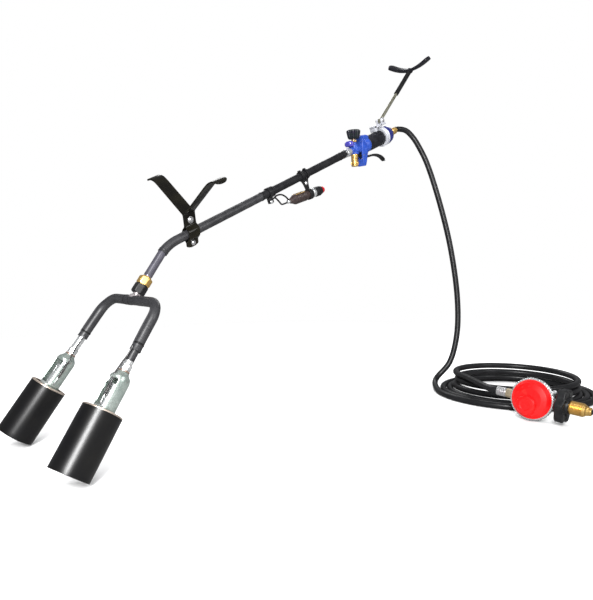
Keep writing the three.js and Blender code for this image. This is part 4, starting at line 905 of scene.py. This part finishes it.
clip = Shape(LANCE)
clip_ring = fillet([(9.1, 263), (11.5, 263), (11.5, 273), (9.1, 273)], 0.5, 3, True)
clip.loft(lathe(clip_ring, 64), along_x(LANCE), loop=True)
clip.loft(rounded_box(260, 271, -4.6, 4.6, -22, -10, 1.0))
clip.loft(
    lathe(fillet([(0.05, 6.4), (2.4, 6.2), (3.6, 5.2), (3.6, 4.4)], 0.4)[::-1], 32),
    along_y(LANCE, 264, -19), mat=1)
clip.turn(
    [(9.1, 275), (10.9, 275), (10.9, 279), (9.1, 279), (9.1, 275)], 0.4, 64, along_x(LANCE),
    caps=(False, False))
piece("look_lead_clip", clip, [BLACK_PLASTIC, BRIGHT], "lead_clip")

# ------------------------------------------------------------------ control valve
FITTING_END = 551.0
fitting = Shape(LANCE)
TURN_LANCE = along_x(LANCE)
fitting.turn(
    [(6.9, LANCE_LENGTH + 0.3), (9.6, LANCE_LENGTH + 0.3), (9.6, LANCE_LENGTH + 3),
    (6.9, LANCE_LENGTH + 3)], 0.4, 48, TURN_LANCE)
fitting.loft(hexagon(19, LANCE_LENGTH + 3, LANCE_LENGTH + 13, 1.2), TURN_LANCE)
fitting.loft(lathe([(7.6, LANCE_LENGTH + 12), (7.6, FITTING_END)], 48), TURN_LANCE)
piece("look_outlet_fitting", fitting, BRIGHT, "outlet_fitting")

ALONG_LANCE = VALVE @ turned(VALVE_LEAN - LANCE_TILT, "Y") @ turned(90, "Y")
body = Shape(VALVE)
body.turn(
    [(0.1, -12.5), (11, -12.5), (11, -4), (12, 0), (11, 5), (11, 10), (7, 11), (7, 16), (0.1, 16)], 1.6, 64)
body.turn([(7, -15.7), (8.6, -15.5), (9.6, -8), (8.5, 0)], 1.2, 48, ALONG_LANCE)
body.loft(lathe([(8, 0), (8, 17.2)], 48), along_x(VALVE))
body.loft(rounded_box(-17, 0, -6, 6, 4, 10.5, 1.6))
cap_place = VALVE @ moved(-17, 0, 0) @ Matrix.Diagonal((1, 1.3, 1, 1))
body.turn(
    [(0.1, 4.6), (7.4, 4.8), (9.4, 8.6), (9.4, 13.6), (7, 17), (0.1, 18.6)], 1.6, 48, cap_place, mat=1)
body.loft(rounded_box(-4.5, 4.5, -12.4, -8, -7, 5, 1.2))
piece("look_valve_body", body, [BLUE, PURPLE_CAP], "valve_body")

gland = Shape(VALVE)
gland.loft(hexagon(12, 16.3, 20.4, 0.8))
gland.turn([(3, 20), (6.2, 20.3), (5.4, 23), (3, 23)], 0.5, 48, mat=1)
piece("look_gland_nut", gland, [BRASS, COPPER], "gland_nut")

RIDGES = 14
knob = Shape(VALVE)


def ridged(depth):
    def reach(t, z):
        wave = np.abs(np.sin(t * RIDGES / 2))
        return 1 - depth * np.exp(-((wave / 0.42) ** 2))
    return reach


skirt = fillet(
    [(8.5, 23.6), (12.4, 24.2), (14.6, 28), (15.8, 34), (17, 40), (17, 43), (15.2, 44.6)], 1.0, 4)
knob.loft(lathe(skirt, 168, ridged(0.1)), caps=(True, False))
knob.turn(
    [(15.2, 44.6), (12.6, 45), (11.6, 44), (4, 43.8), (3.2, 44.6), (0.05, 44.6)], 0.7, 168,
    caps=(False, True))
piece("look_flow_knob", knob, KNOB_BLACK_PAINTED_SHEEN, "flow_knob")

bonnet = Shape(VALVE)
bonnet.loft(lathe(fillet([(8.3, -12.8), (9, -12.8), (9, -16), (8.3, -16.6), (8.3, -31)], 0.5, 3)[::-1], 72))


def castle(t, z):
    notch = (np.cos(t * 12) > 0.35) & (z > -35.5)
    return np.where(notch, 0.86, 1.0)


crown_z = (-36, -35.4, -34.6, -34.4, -32, -31.2, -31)
crown_r = (9.2, 9.8, 9.8, 9.8, 9.8, 9.6, 8.3)
bonnet.loft(lathe(list(zip(crown_r, crown_z)), 144, castle))
bonnet.turn([(0.05, -40.6), (3, -41), (7.6, -41), (8.4, -40), (8.4, -36)], 0.6, 72, steps=3)
piece("look_bonnet", bonnet, BRASS, "bonnet")

# ------------------------------------------------------------------ squeeze valve
VALVE_SIDE = VALVE @ turned(90, "X")
outline = [
    (24, 31), (30, 35), (40, 34.5), (47, 26), (45, 4), (38.5, -11), (34, -29), (30.5, -39), (24, -40),
    (20.5, -33), (18.5, -10), (17.5, 4), (18.5, 14), (21, 25)]
GRIP_TURN = along_x(HANDLE)
casting = Shape(VALVE)
cheek_outline = fillet(outline, 3.0, 4, True)
for low_y, high_y in ((6.4, 11), (-11, -6.4)):
    casting.loft(slab(cheek_outline, low_y, high_y, 1.6), VALVE_SIDE)
upper_outline = fillet(
    [(24, 31), (30, 35), (40, 34.5), (47, 26), (45, -5.5), (17.9, -5.5), (17.5, 4), (18.5, 14), (21, 25)],
    3.0, 4, True)
casting.loft(slab(upper_outline, -7, 7, 0.6), VALVE_SIDE)
casting.loft(
    slab(fillet([(34, -23.3), (30.5, -39), (24, -40), (20.5, -33), (19, -23.3)], 2, 3, True), -7, 7, 0.6),
    VALVE_SIDE)
casting.turn(
    [(10, -14), (16.5, -12), (18.2, -4), (18.4, 2), (16.6, 2.7), (7.3, 2.7)], 2.0, 72, GRIP_TURN,
    caps=(True, False))
for x, z, r in ((40, 22, 4.2), (30, 22, 3.4), (33, 2, 3.0)):
    casting.loft(
        lathe(fillet([(0.05, 12.0), (r * 0.7, 12.0), (r, 10.5), (r, 9)], 0.5)[::-1], 32),
        along_y(VALVE, x, z))
piece("look_casting", casting, BLUE, "handle_casting")

plug = Shape(VALVE @ moved(31, 0, 0))
plug.turn([(4.7, 27), (4.7, 34.6), (2.4, 34.6), (2.2, 33.6), (0.05, 33.6)], 0.4, 40)
piece("look_bore_plug", plug, BLUE, "bore_plug")
pin = Shape(VALVE)
pin.turn(
    [(0.05, -11), (1.7, -11), (2, -10.6), (2, 10.6), (1.7, 11), (0.05, 11)], 0.2, 32,
    along_y(VALVE, 23, -14))
piece("look_lever_pin", pin, STEEL, "lever_pin")

lever = Shape(VALVE)
LEVER_SIDE = VALVE @ turned(-90, "Z")
points = [(23, -14), (44, -15.6), (64, -11.4), (84, -10.2), (101, -14), (113, -22)]
lever_line = smooth_path([(0, x, z) for x, z in points], 6)[:, 1:]
lever.loft(strap(lever_line, 12, 5.4, 3, 4, 1.8), LEVER_SIDE)
lever.turn([(2.2, -6), (3.5, -6), (3.5, 6), (2.2, 6)], 0.4, 40, along_y(VALVE, 23, -14), steps=3)
lever.loft(rounded_box(23, 35, -6, 6, -17.5, -10.5, 0.8))
lever.tube([(112.6, -4.8, -22.8), (113, 0, -23.2), (112.6, 4.8, -22.8)], 1.3, mat=1, side=(1, 0, 0))
piece("look_lever", lever, [GLOSS_BLACK, BRIGHT], "lever")

# ------------------------------------------------------------------ handle
GRIP_FROM, GRIP_TO = 3.0, 63.0
BAND_TO = GRIP_TO + 12
CAP_TO = BAND_TO + 28
FITTING_TO = CAP_TO + 10
FERRULE_TO = FITTING_TO + 16

grip = Shape(HANDLE)
profile = [
    (7.3, GRIP_FROM), (17.2, GRIP_FROM), (18.4, GRIP_FROM + 2), (18.6, GRIP_FROM + 8), (18.6, GRIP_TO - 8),
    (18.4, GRIP_TO - 1.6), (17.4, GRIP_TO), (7.3, GRIP_TO)]
grip.turn(profile, 1.2, 96, GRIP_TURN)
# A thin ridge along the grip in the lighter, glossier sleeve material: a painted highlight line on the black gloss
# grip.
painted_highlight_ridge = [
    (GRIP_FROM + 2 + 8 * k, 18.5 * math.cos(rad(218 + 3 * k)), 18.5 * math.sin(rad(218 + 3 * k)))
    for k in range(8)]
grip.tube(painted_highlight_ridge, 0.7, sides=8, mat=1)
piece("look_grip", grip, [RUBBER, SLEEVE], "grip")
band = Shape(HANDLE)
band.turn(
    [(7.3, GRIP_TO + 0.3), (23.2, GRIP_TO + 0.3), (24, GRIP_TO + 1.4), (23.4, GRIP_TO + 4),
    (23.4, BAND_TO - 4), (24, BAND_TO - 1.4), (23.2, BAND_TO), (7.3, BAND_TO)], 0.5, 96, GRIP_TURN,
    steps=3)
piece("look_grip_band", band, BAND_METAL, "grip_band")
cap = Shape(HANDLE)
dome = [
    (7.3, BAND_TO + 0.3), (23.2, BAND_TO + 0.3), (23.2, BAND_TO + 10), (20.8, BAND_TO + 19),
    (15, BAND_TO + 25.4), (9.5, CAP_TO), (7.3, CAP_TO)]
cap.turn(dome, 2.0, 96, GRIP_TURN, steps=5)
piece("look_end_cap", cap, CAP_BLUE, "end_cap")

fitting = Shape(HANDLE)
fitting.loft(hexagon(16, CAP_TO + 0.3, FITTING_TO - 3, 1.2), GRIP_TURN)
crimp = [(6.6, FITTING_TO - 3.4), (7.6, FITTING_TO - 3.2), (7.6, FITTING_TO + 0.6)]
for k in range(3):
    z0 = FITTING_TO + 1.8 + 4.4 * k
    crimp += [(8.8, z0), (8.8, z0 + 2.6), (8.2, z0 + 3.1), (8.2, z0 + 3.7)]
crimp += [(8.8, FERRULE_TO - 0.8), (8.4, FERRULE_TO), (7.1, FERRULE_TO)]
fitting.turn(crimp, 0.3, 72, GRIP_TURN, steps=3)
piece("look_inlet_fitting", fitting, BRASS, "inlet_fitting")

# ------------------------------------------------------------------ arm rest
PIVOT_X, PIVOT_Z = 80.0, 38.0
BRIDGE_TOP = PIVOT_Z - 5
bracket = Shape(HANDLE)
bracket.loft(rounded_box(42, 50, -9, 9, 18.9, BRIDGE_TOP, 0.9))
bracket.loft(rounded_box(GRIP_TO + 2, BAND_TO - 1, -9, 9, 24.3, BRIDGE_TOP - 2, 0.9))
bracket.loft(rounded_box(42, PIVOT_X + 9, -9, 9, BRIDGE_TOP - 6, BRIDGE_TOP - 1.6, 0.9))
bracket.loft(rounded_box(42, PIVOT_X - 9, -9, 9, BRIDGE_TOP - 3, BRIDGE_TOP, 0.9))
ear = fillet(
    [(PIVOT_X - 6, BRIDGE_TOP - 3), (PIVOT_X + 6, BRIDGE_TOP - 3), (PIVOT_X + 6, PIVOT_Z + 6),
    (PIVOT_X - 6, PIVOT_Z + 6)], 4.5, 6, True)
handle_side = HANDLE @ turned(90, "X")
for low_y, high_y in ((4.6, 9), (-9, -4.6)):
    bracket.loft(slab(ear, low_y, high_y, 0.8), handle_side)
piece("look_rest_bracket", bracket, BAND_METAL, "rest_bracket")
piece("look_rest_bolt", bolt(HANDLE, PIVOT_X, PIVOT_Z, 9.3, 2, 4), STEEL, "rest_pivot_bolt")

REST_TURN = along_x(REST)
rod = Shape(REST)
rod.turn([(2.6, 4.6), (3.9, 5.4), (3.9, 149.2), (3.2, 150), (0.05, 150)], 0.5, 40, REST_TURN, steps=3)
eye = lathe(fillet([(2.2, -4.2), (5.4, -4.2), (5.4, 4.2), (2.2, 4.2)], 0.7, 3, True), 48)
rod.loft(eye, along_y(REST), loop=True)
piece("look_rest_rod", rod, ROD_METAL, "rest_rod")

REST_ROD_ANGLE = 26.3
CRADLE_HALF, CRADLE_RISE, CRADLE_LEFT_RISE = 62.0, 16.0, 23.0
REST_TUBE_FROM, REST_TUBE_TO = 102.0, 191.0
cradle = Shape(REST)
across = np.linspace(-CRADLE_HALF, CRADLE_HALF, 33)
rise = np.where(across > 0, CRADLE_LEFT_RISE, CRADLE_RISE)
line = np.column_stack([across, rise * (np.abs(across) / CRADLE_HALF) ** 1.8])
cradle_place = REST @ moved(REST_TUBE_TO + 8, 0, 0) @ turned(REST_ROD_ANGLE, "Y")
cradle.loft(strap(line, 26, 8, 9, 9, 3), cradle_place)
cradle.turn(
    [(4.2, REST_TUBE_FROM), (5.6, REST_TUBE_FROM), (6, REST_TUBE_FROM + 1), (6, REST_TUBE_FROM + 20),
    (6, REST_TUBE_TO), (5, REST_TUBE_TO + 6)], 0.4, 48, REST_TURN, steps=3, mat=1)
cradle.turn([(4.8, REST_TUBE_TO - 3), (7.2, REST_TUBE_TO + 3), (8, REST_TUBE_TO + 6)], 1.0, 40, REST_TURN)
piece("look_cradle", cradle, [RUBBER, GLOSS_BLACK], "rest_cradle")

# ------------------------------------------------------------------ hose
HOSE_R = 7.0
ARM_DROP = math.sin(rad(BURNER_TILT)) * math.cos(rad(HEAD_SPLAY))
DRAWN_BEND = np.array(
    (512.5, 0, -BAR * math.sin(rad(BURNER_TILT)) + (BAR - MOUTH) * ARM_DROP + CUP_R
    * math.sqrt(1 - ARM_DROP ** 2)))
shift = np.array(bend) / MM - DRAWN_BEND
COIL_CENTRE = (1288.0, -291.0)
COIL_YAW, COIL_WIDE, COIL_DEEP, COIL_PITCH = 43.0, 163.0, 146.0, 15.0
COIL_FIRST, COIL_RISE_FROM, COIL_IN_TO, COIL_LAST = 178.0, 988.0, 1204.0, 1994.0
COIL_OUTER = 1.13
COIL_POINTS = 128
HOSE_FALL = [
    (1216, -12, 664), (1231, -25, 646), (1242, -41, 614), (1252, -56, 576), (1266, -88, 470),
    (1274, -118, 350), (1274, -140, 220), (1262, -147, 130), (1240, -141, 62), (1208, -122, 20)]


def coil_point(angle):
    yaw = -rad(COIL_YAW)
    inward = (min(angle, COIL_IN_TO) - COIL_FIRST) / 360
    wander = 0.025 * math.sin(rad((angle - COIL_IN_TO) * 0.7)) if angle > COIL_IN_TO else 0.0
    spread = COIL_OUTER - 0.1 * inward + wander
    wide, deep = COIL_WIDE * spread * math.cos(rad(angle)), COIL_DEEP * spread * math.sin(rad(angle))
    return (
        COIL_CENTRE[0] + wide * math.cos(yaw) - deep * math.sin(yaw),
        COIL_CENTRE[1] + wide * math.sin(yaw) + deep * math.cos(yaw),
        HOSE_R + COIL_PITCH * max(angle - COIL_RISE_FROM, 0) / 360)


def in_row(matrix, point):
    return np.array(matrix @ Vector(point)) / MM


hose_points = [in_row(HANDLE, (x, 0, 0)) for x in (FITTING_TO + 1, FERRULE_TO, FERRULE_TO + 12)]
hose_points += [np.array(p) + shift for p in HOSE_FALL]
coil_step = (COIL_LAST - COIL_FIRST) / COIL_POINTS
hose_points += [np.array(coil_point(COIL_FIRST + coil_step * k)) + shift for k in range(COIL_POINTS + 1)]
hose_points += [in_row(REGULATOR, (x, 0, OUTLET_AXIS)) for x in (-88, -76, -57)]
hose = Shape(ROW)
hose.loft(sweep(smooth_path(hose_points, 7), disc_section(HOSE_R, 28), (0, 1, 0)))
piece("look_hose", hose, HOSE, "hose")

# ------------------------------------------------------------------ regulator
R = 42.0
PIPE_TURN = along_x(REGULATOR, OUTLET_AXIS)
ferrule = Shape(REGULATOR)
crimp = [(7.3, -76), (9.0, -76)]
for k in range(4):
    z0 = -74.4 + 4.3 * k
    crimp += [(9.4, z0), (9.4, z0 + 2.7), (8.8, z0 + 3.2), (8.8, z0 + 3.8)]
crimp += [(9.4, -57.2), (9.0, -56.3), (7.3, -56.3)]
ferrule.turn(crimp, 0.3, 72, PIPE_TURN, steps=3, caps=(False, False))
piece("look_rear_ferrule", ferrule, STEEL, "rear_ferrule")
nut = Shape(REGULATOR)
nut.loft(hexagon(17, -56, -43.2, 1.3), PIPE_TURN)
piece("look_swivel_nut", nut, NUT_METAL, "swivel_nut")

body = Shape(REGULATOR)
body.turn(
    [(0.1, -24), (17, -24), (25, -20), (33, -6), (R - 2, -2), (R, -0.6), (R, 3), (R - 3, 3.2)], 1.6, 120)
body.turn(
    [(5.8, -49), (5.8, -43), (10, -42.6), (10, -38), (11, -34), (13, -18)], 1.0, 64, PIPE_TURN, steps=3)
body.loft(hexagon(19, -42.4, -36, 1.2), PIPE_TURN)
body.turn([(13, 18), (10.4, 34), (9.5, 38), (9.5, 41), (11, 41.6), (11, 46)], 1.0, 64, PIPE_TURN, steps=3)
crimps = 48


def crimped(t, z):
    return 1 + 0.012 * np.sign(np.sin(t * crimps)) * (1 if z > 0.2 else 0.4)


body.turn(
    [(R - 4, -1.4), (R + 0.6, -1.2), (R + 0.6, 4.4), (R - 1, 6.6), (R - 3, 6.6)], 0.7, 192, steps=3,
    reach=crimped, mat=1)
vent = REGULATOR @ moved(R - 12, 19, 0) @ turned(22, "Z") @ turned(90, "Y")
body.turn(
    [(2.6, 0), (2.6, 8), (3.6, 8.6), (3.6, 13), (2.2, 14.6), (0.1, 14.6)], 0.5, 32, vent, steps=3, mat=1)
piece("look_regulator_body", body, [ZINC, BRIGHT], "regulator_body")

BOSS_X, BOSS_Y = -5.0, -12.0
cover = Shape(REGULATOR)
shell = fillet(
    [(R - 3.4, 4.8), (R - 3, 6.6), (R - 3.2, 8.6), (R - 5.6, 11), (R - 10, 15), (R - 20, 17.4), (0.05, 18)],
    1.6, 4)


def crimped_cover(t, z):
    return 1 + 0.008 * np.sign(np.sin(t * crimps)) * (1.0 if z < 8 else 0.0)


cover.loft(lathe(shell, 192, crimped_cover))
boss = REGULATOR @ moved(BOSS_X, BOSS_Y, 0)
cover.turn(
    [(22, 15), (19.6, 18), (19, 20.6), (16.6, 23.8), (11, 24.4), (10, 23.6), (3, 23.6), (0.05, 23.8)], 1.0,
    96, boss)
for k in range(3):
    angle = rad(100 + 30 * k)
    dot = REGULATOR @ moved(27 * math.cos(angle), 27 * math.sin(angle), -1)
    cover.turn([(2.4, 15.8), (2, 17.8), (0.05, 18)], 0.4, 24, dot, steps=3)
piece("look_regulator_cover", cover, RED, "regulator_cover")

LOBES = 6
wheel = Shape(REGULATOR)


def lobed(t, z):
    return 1 + 0.097 * np.cos(LOBES * t)


rim = fillet([(18, 47), (30, 47.2), (32.5, 49.4), (32.5, 62.4), (30, 64.8), (19, 64.8)], 1.8, 5)
wheel.loft(lathe(rim, 144, lobed), PIPE_TURN, caps=(False, False))
hub = fillet([(12.2, 47), (18, 47), (18.4, 48.5), (18.4, 64.4), (17.6, 68.8), (12.2, 68.8)], 0.8, 4)
wheel.loft(lathe(hub, 96), PIPE_TURN, caps=(False, False))
for k in range(LOBES):
    spoke = REGULATOR @ moved(0, 0, OUTLET_AXIS) @ Matrix.Rotation(2 * math.pi * (k + 0.5) / LOBES, 4, "X")
    wheel.loft(rounded_box(64, 66.4, -1.2, 1.2, 17.5, 27, 0.5), spoke)
piece("look_handwheel", wheel, BLACK_PLASTIC, "handwheel")

nut = Shape(REGULATOR)
nut.loft(hexagon(20, 47, 70, 1.0), PIPE_TURN)
thread = [(9, 69)]
for k in range(14):
    z0 = 70.6 + 1.55 * k
    thread += [(13.4, z0), (12.6, z0 + 0.75)]
thread += [(13.4, 92.4), (10.8, 97.4), (4.9, 97.4)]
nut.loft(lathe(thread, 96), PIPE_TURN)
piece("look_inlet_nut", nut, BRASS, "inlet_nut")
nipple = Shape(REGULATOR)
nipple.loft(lathe([(4.4, 46.4), (4.4, 98)], 32), PIPE_TURN)
nipple.turn([(4.4, 98), (9.4, 98), (9.4, 100.6), (8.2, 102.4), (7.4, 104)], 0.5, 64, PIPE_TURN, steps=3)
nipple.turn([(7, 102.8), (8.2, 103.4), (8, 107), (6.2, 108.2)], 0.8, 64, PIPE_TURN)
nipple.turn([(6.2, 107.8), (5.4, 109), (4, 110), (2, 110), (2, 106)], 0.4, 64, PIPE_TURN, steps=3, mat=1)
piece("look_inlet_nipple", nipple, [BRASS, LEAD_BLACK], "inlet_nipple")

# ------------------------------------------------------------------ CAD nodes shown as they are
KEPT = {
    "flow_stem": BRASS, "gas_tube": BRASS, "valve_plunger": STEEL, "return_spring": STEEL,
    "control_spring": STEEL, "diaphragm": RUBBER, "spark_element": BLACK_PLASTIC}
for name, material in KEPT.items():
    mesh = frame["nodes"][name].data
    mesh.materials.clear()
    mesh.materials.append(material)

# ------------------------------------------------------------------ stage, lights and camera
# The floor and the sky are darker to mirror rays, so black paint stays black beside a white floor.
STAGE_SIZE = 9.0
g = Graph("pale_floor")
speck = g.noise(g.space("Object", (1, 1, 1)), 40.0, 6.0, 0.6)
FADE_FROM, FADE_TO = 0.9, 1.8
MIRRORED_SHADE = 0.17
from_middle = g.node("ShaderNodeVectorMath", 1, {"operation": "LENGTH"}, _0=g.space("Object", (1, 1, 1)))
g.set(Alpha=g.ramp(from_middle, FADE_FROM, FADE_TO, 1.0, 0.0))
pale = g.mix(g.ramp(speck, 0.3, 0.7), (0.95, 0.95, 0.95), (0.97, 0.97, 0.97))
mirrored = g.node("ShaderNodeLightPath", 3)
g.set(
    Base_Color=g.mix(mirrored, pale, (MIRRORED_SHADE,) * 3), Roughness=0.75, Specular_IOR_Level=0.2,
    Normal=g.node("ShaderNodeBump", Strength=0.03, Distance=0.0005, Height=speck))
floor_mesh = bpy.data.meshes.new("floor")
bm = bmesh.new()
steps = 24
marks = [(i / steps - 0.5) * 2 * STAGE_SIZE for i in range(steps + 1)]
grid = [[bm.verts.new((x, y, 0.0)) for y in marks] for x in marks]
for i in range(steps):
    for j in range(steps):
        bm.faces.new((grid[i][j], grid[i + 1][j], grid[i + 1][j + 1], grid[i][j + 1]))
bm.to_mesh(floor_mesh)
bm.free()
floor = bpy.data.objects.new("floor", floor_mesh)
bpy.context.scene.collection.objects.link(floor)
floor_mesh.materials.append(g.material)

SOFT_SKY = (0.42, 0.425, 0.435, 1)
MIRRORED_SKY = (0.2, 0.203, 0.21, 1)
SEEN_SKY = (1.0, 1.0, 1.0, 1)
world = bpy.data.worlds.new("studio")
bpy.context.scene.world = world
world.use_nodes = True
tree = world.node_tree
background = tree.nodes["Background"]
ray = tree.nodes.new("ShaderNodeLightPath")
mix = tree.nodes.new("ShaderNodeMix")
mix.data_type = "RGBA"
mirror_mix = tree.nodes.new("ShaderNodeMix")
mirror_mix.data_type = "RGBA"
mirror_mix.inputs[6].default_value = SOFT_SKY
mirror_mix.inputs[7].default_value = MIRRORED_SKY
tree.links.new(ray.outputs["Is Glossy Ray"], mirror_mix.inputs[0])
tree.links.new(mirror_mix.outputs[2], mix.inputs[6])
mix.inputs[7].default_value = SEEN_SKY
tree.links.new(ray.outputs["Is Camera Ray"], mix.inputs[0])
tree.links.new(mix.outputs[2], background.inputs["Color"])
background.inputs["Strength"].default_value = 1.0

CAMERA_AZIMUTH = -43.0
CAMERA_ELEVATION = 4.0
CAMERA_LENS = 33.0
CAMERA_FROM_BEND = Vector((-512.5, -895.0, 320.0 - DRAWN_BEND[2])) * MM
look = Vector((-math.sin(rad(CAMERA_AZIMUTH)), math.cos(rad(CAMERA_AZIMUTH)), 0))
sideways = Vector((look.y, -look.x, 0))


def area_light(name, place, target, size, power, mirrored=True):
    data = bpy.data.lights.new(name, "AREA")
    data.shape = "RECTANGLE"
    data.size, data.size_y = size
    data.energy = power
    obj = bpy.data.objects.new(name, data)
    obj.location = place
    obj.rotation_euler = (Vector(target) - Vector(place)).to_track_quat("-Z", "Y").to_euler()
    obj.visible_glossy = mirrored
    bpy.context.scene.collection.objects.link(obj)


centre = Vector((0, 0, 0.35))
cups = bend + BURNER.to_3x3().normalized() @ Vector((0, 0, -0.35))
key_side = Vector((-0.523, -0.689, 0.501))
area_light("key", cups + key_side * 2.0, cups, (0.5, 0.95), 85)
area_light("fill", centre - look * 1.3 + sideways * 1.9 + Vector((0, 0, 1.1)), centre, (0.9, 0.9), 20)
area_light("top", centre + Vector((0, 0, 2.4)), centre, (2.6, 2.6), 66, mirrored=False)
area_light("back", centre + look * 1.9 + Vector((0, 0, 1.3)), centre, (2.2, 0.6), 16)

camera_data = bpy.data.cameras.new("camera")
camera_data.lens = CAMERA_LENS
camera_data.sensor_width = 36.0
camera_data.clip_end = 50.0
camera = bpy.data.objects.new("camera", camera_data)
camera.location = bend + CAMERA_FROM_BEND
camera.rotation_euler = (rad(90 - CAMERA_ELEVATION), 0, rad(CAMERA_AZIMUTH))
bpy.context.scene.collection.objects.link(camera)
bpy.context.scene.camera = camera
bpy.context.scene.view_settings.view_transform = "Standard"
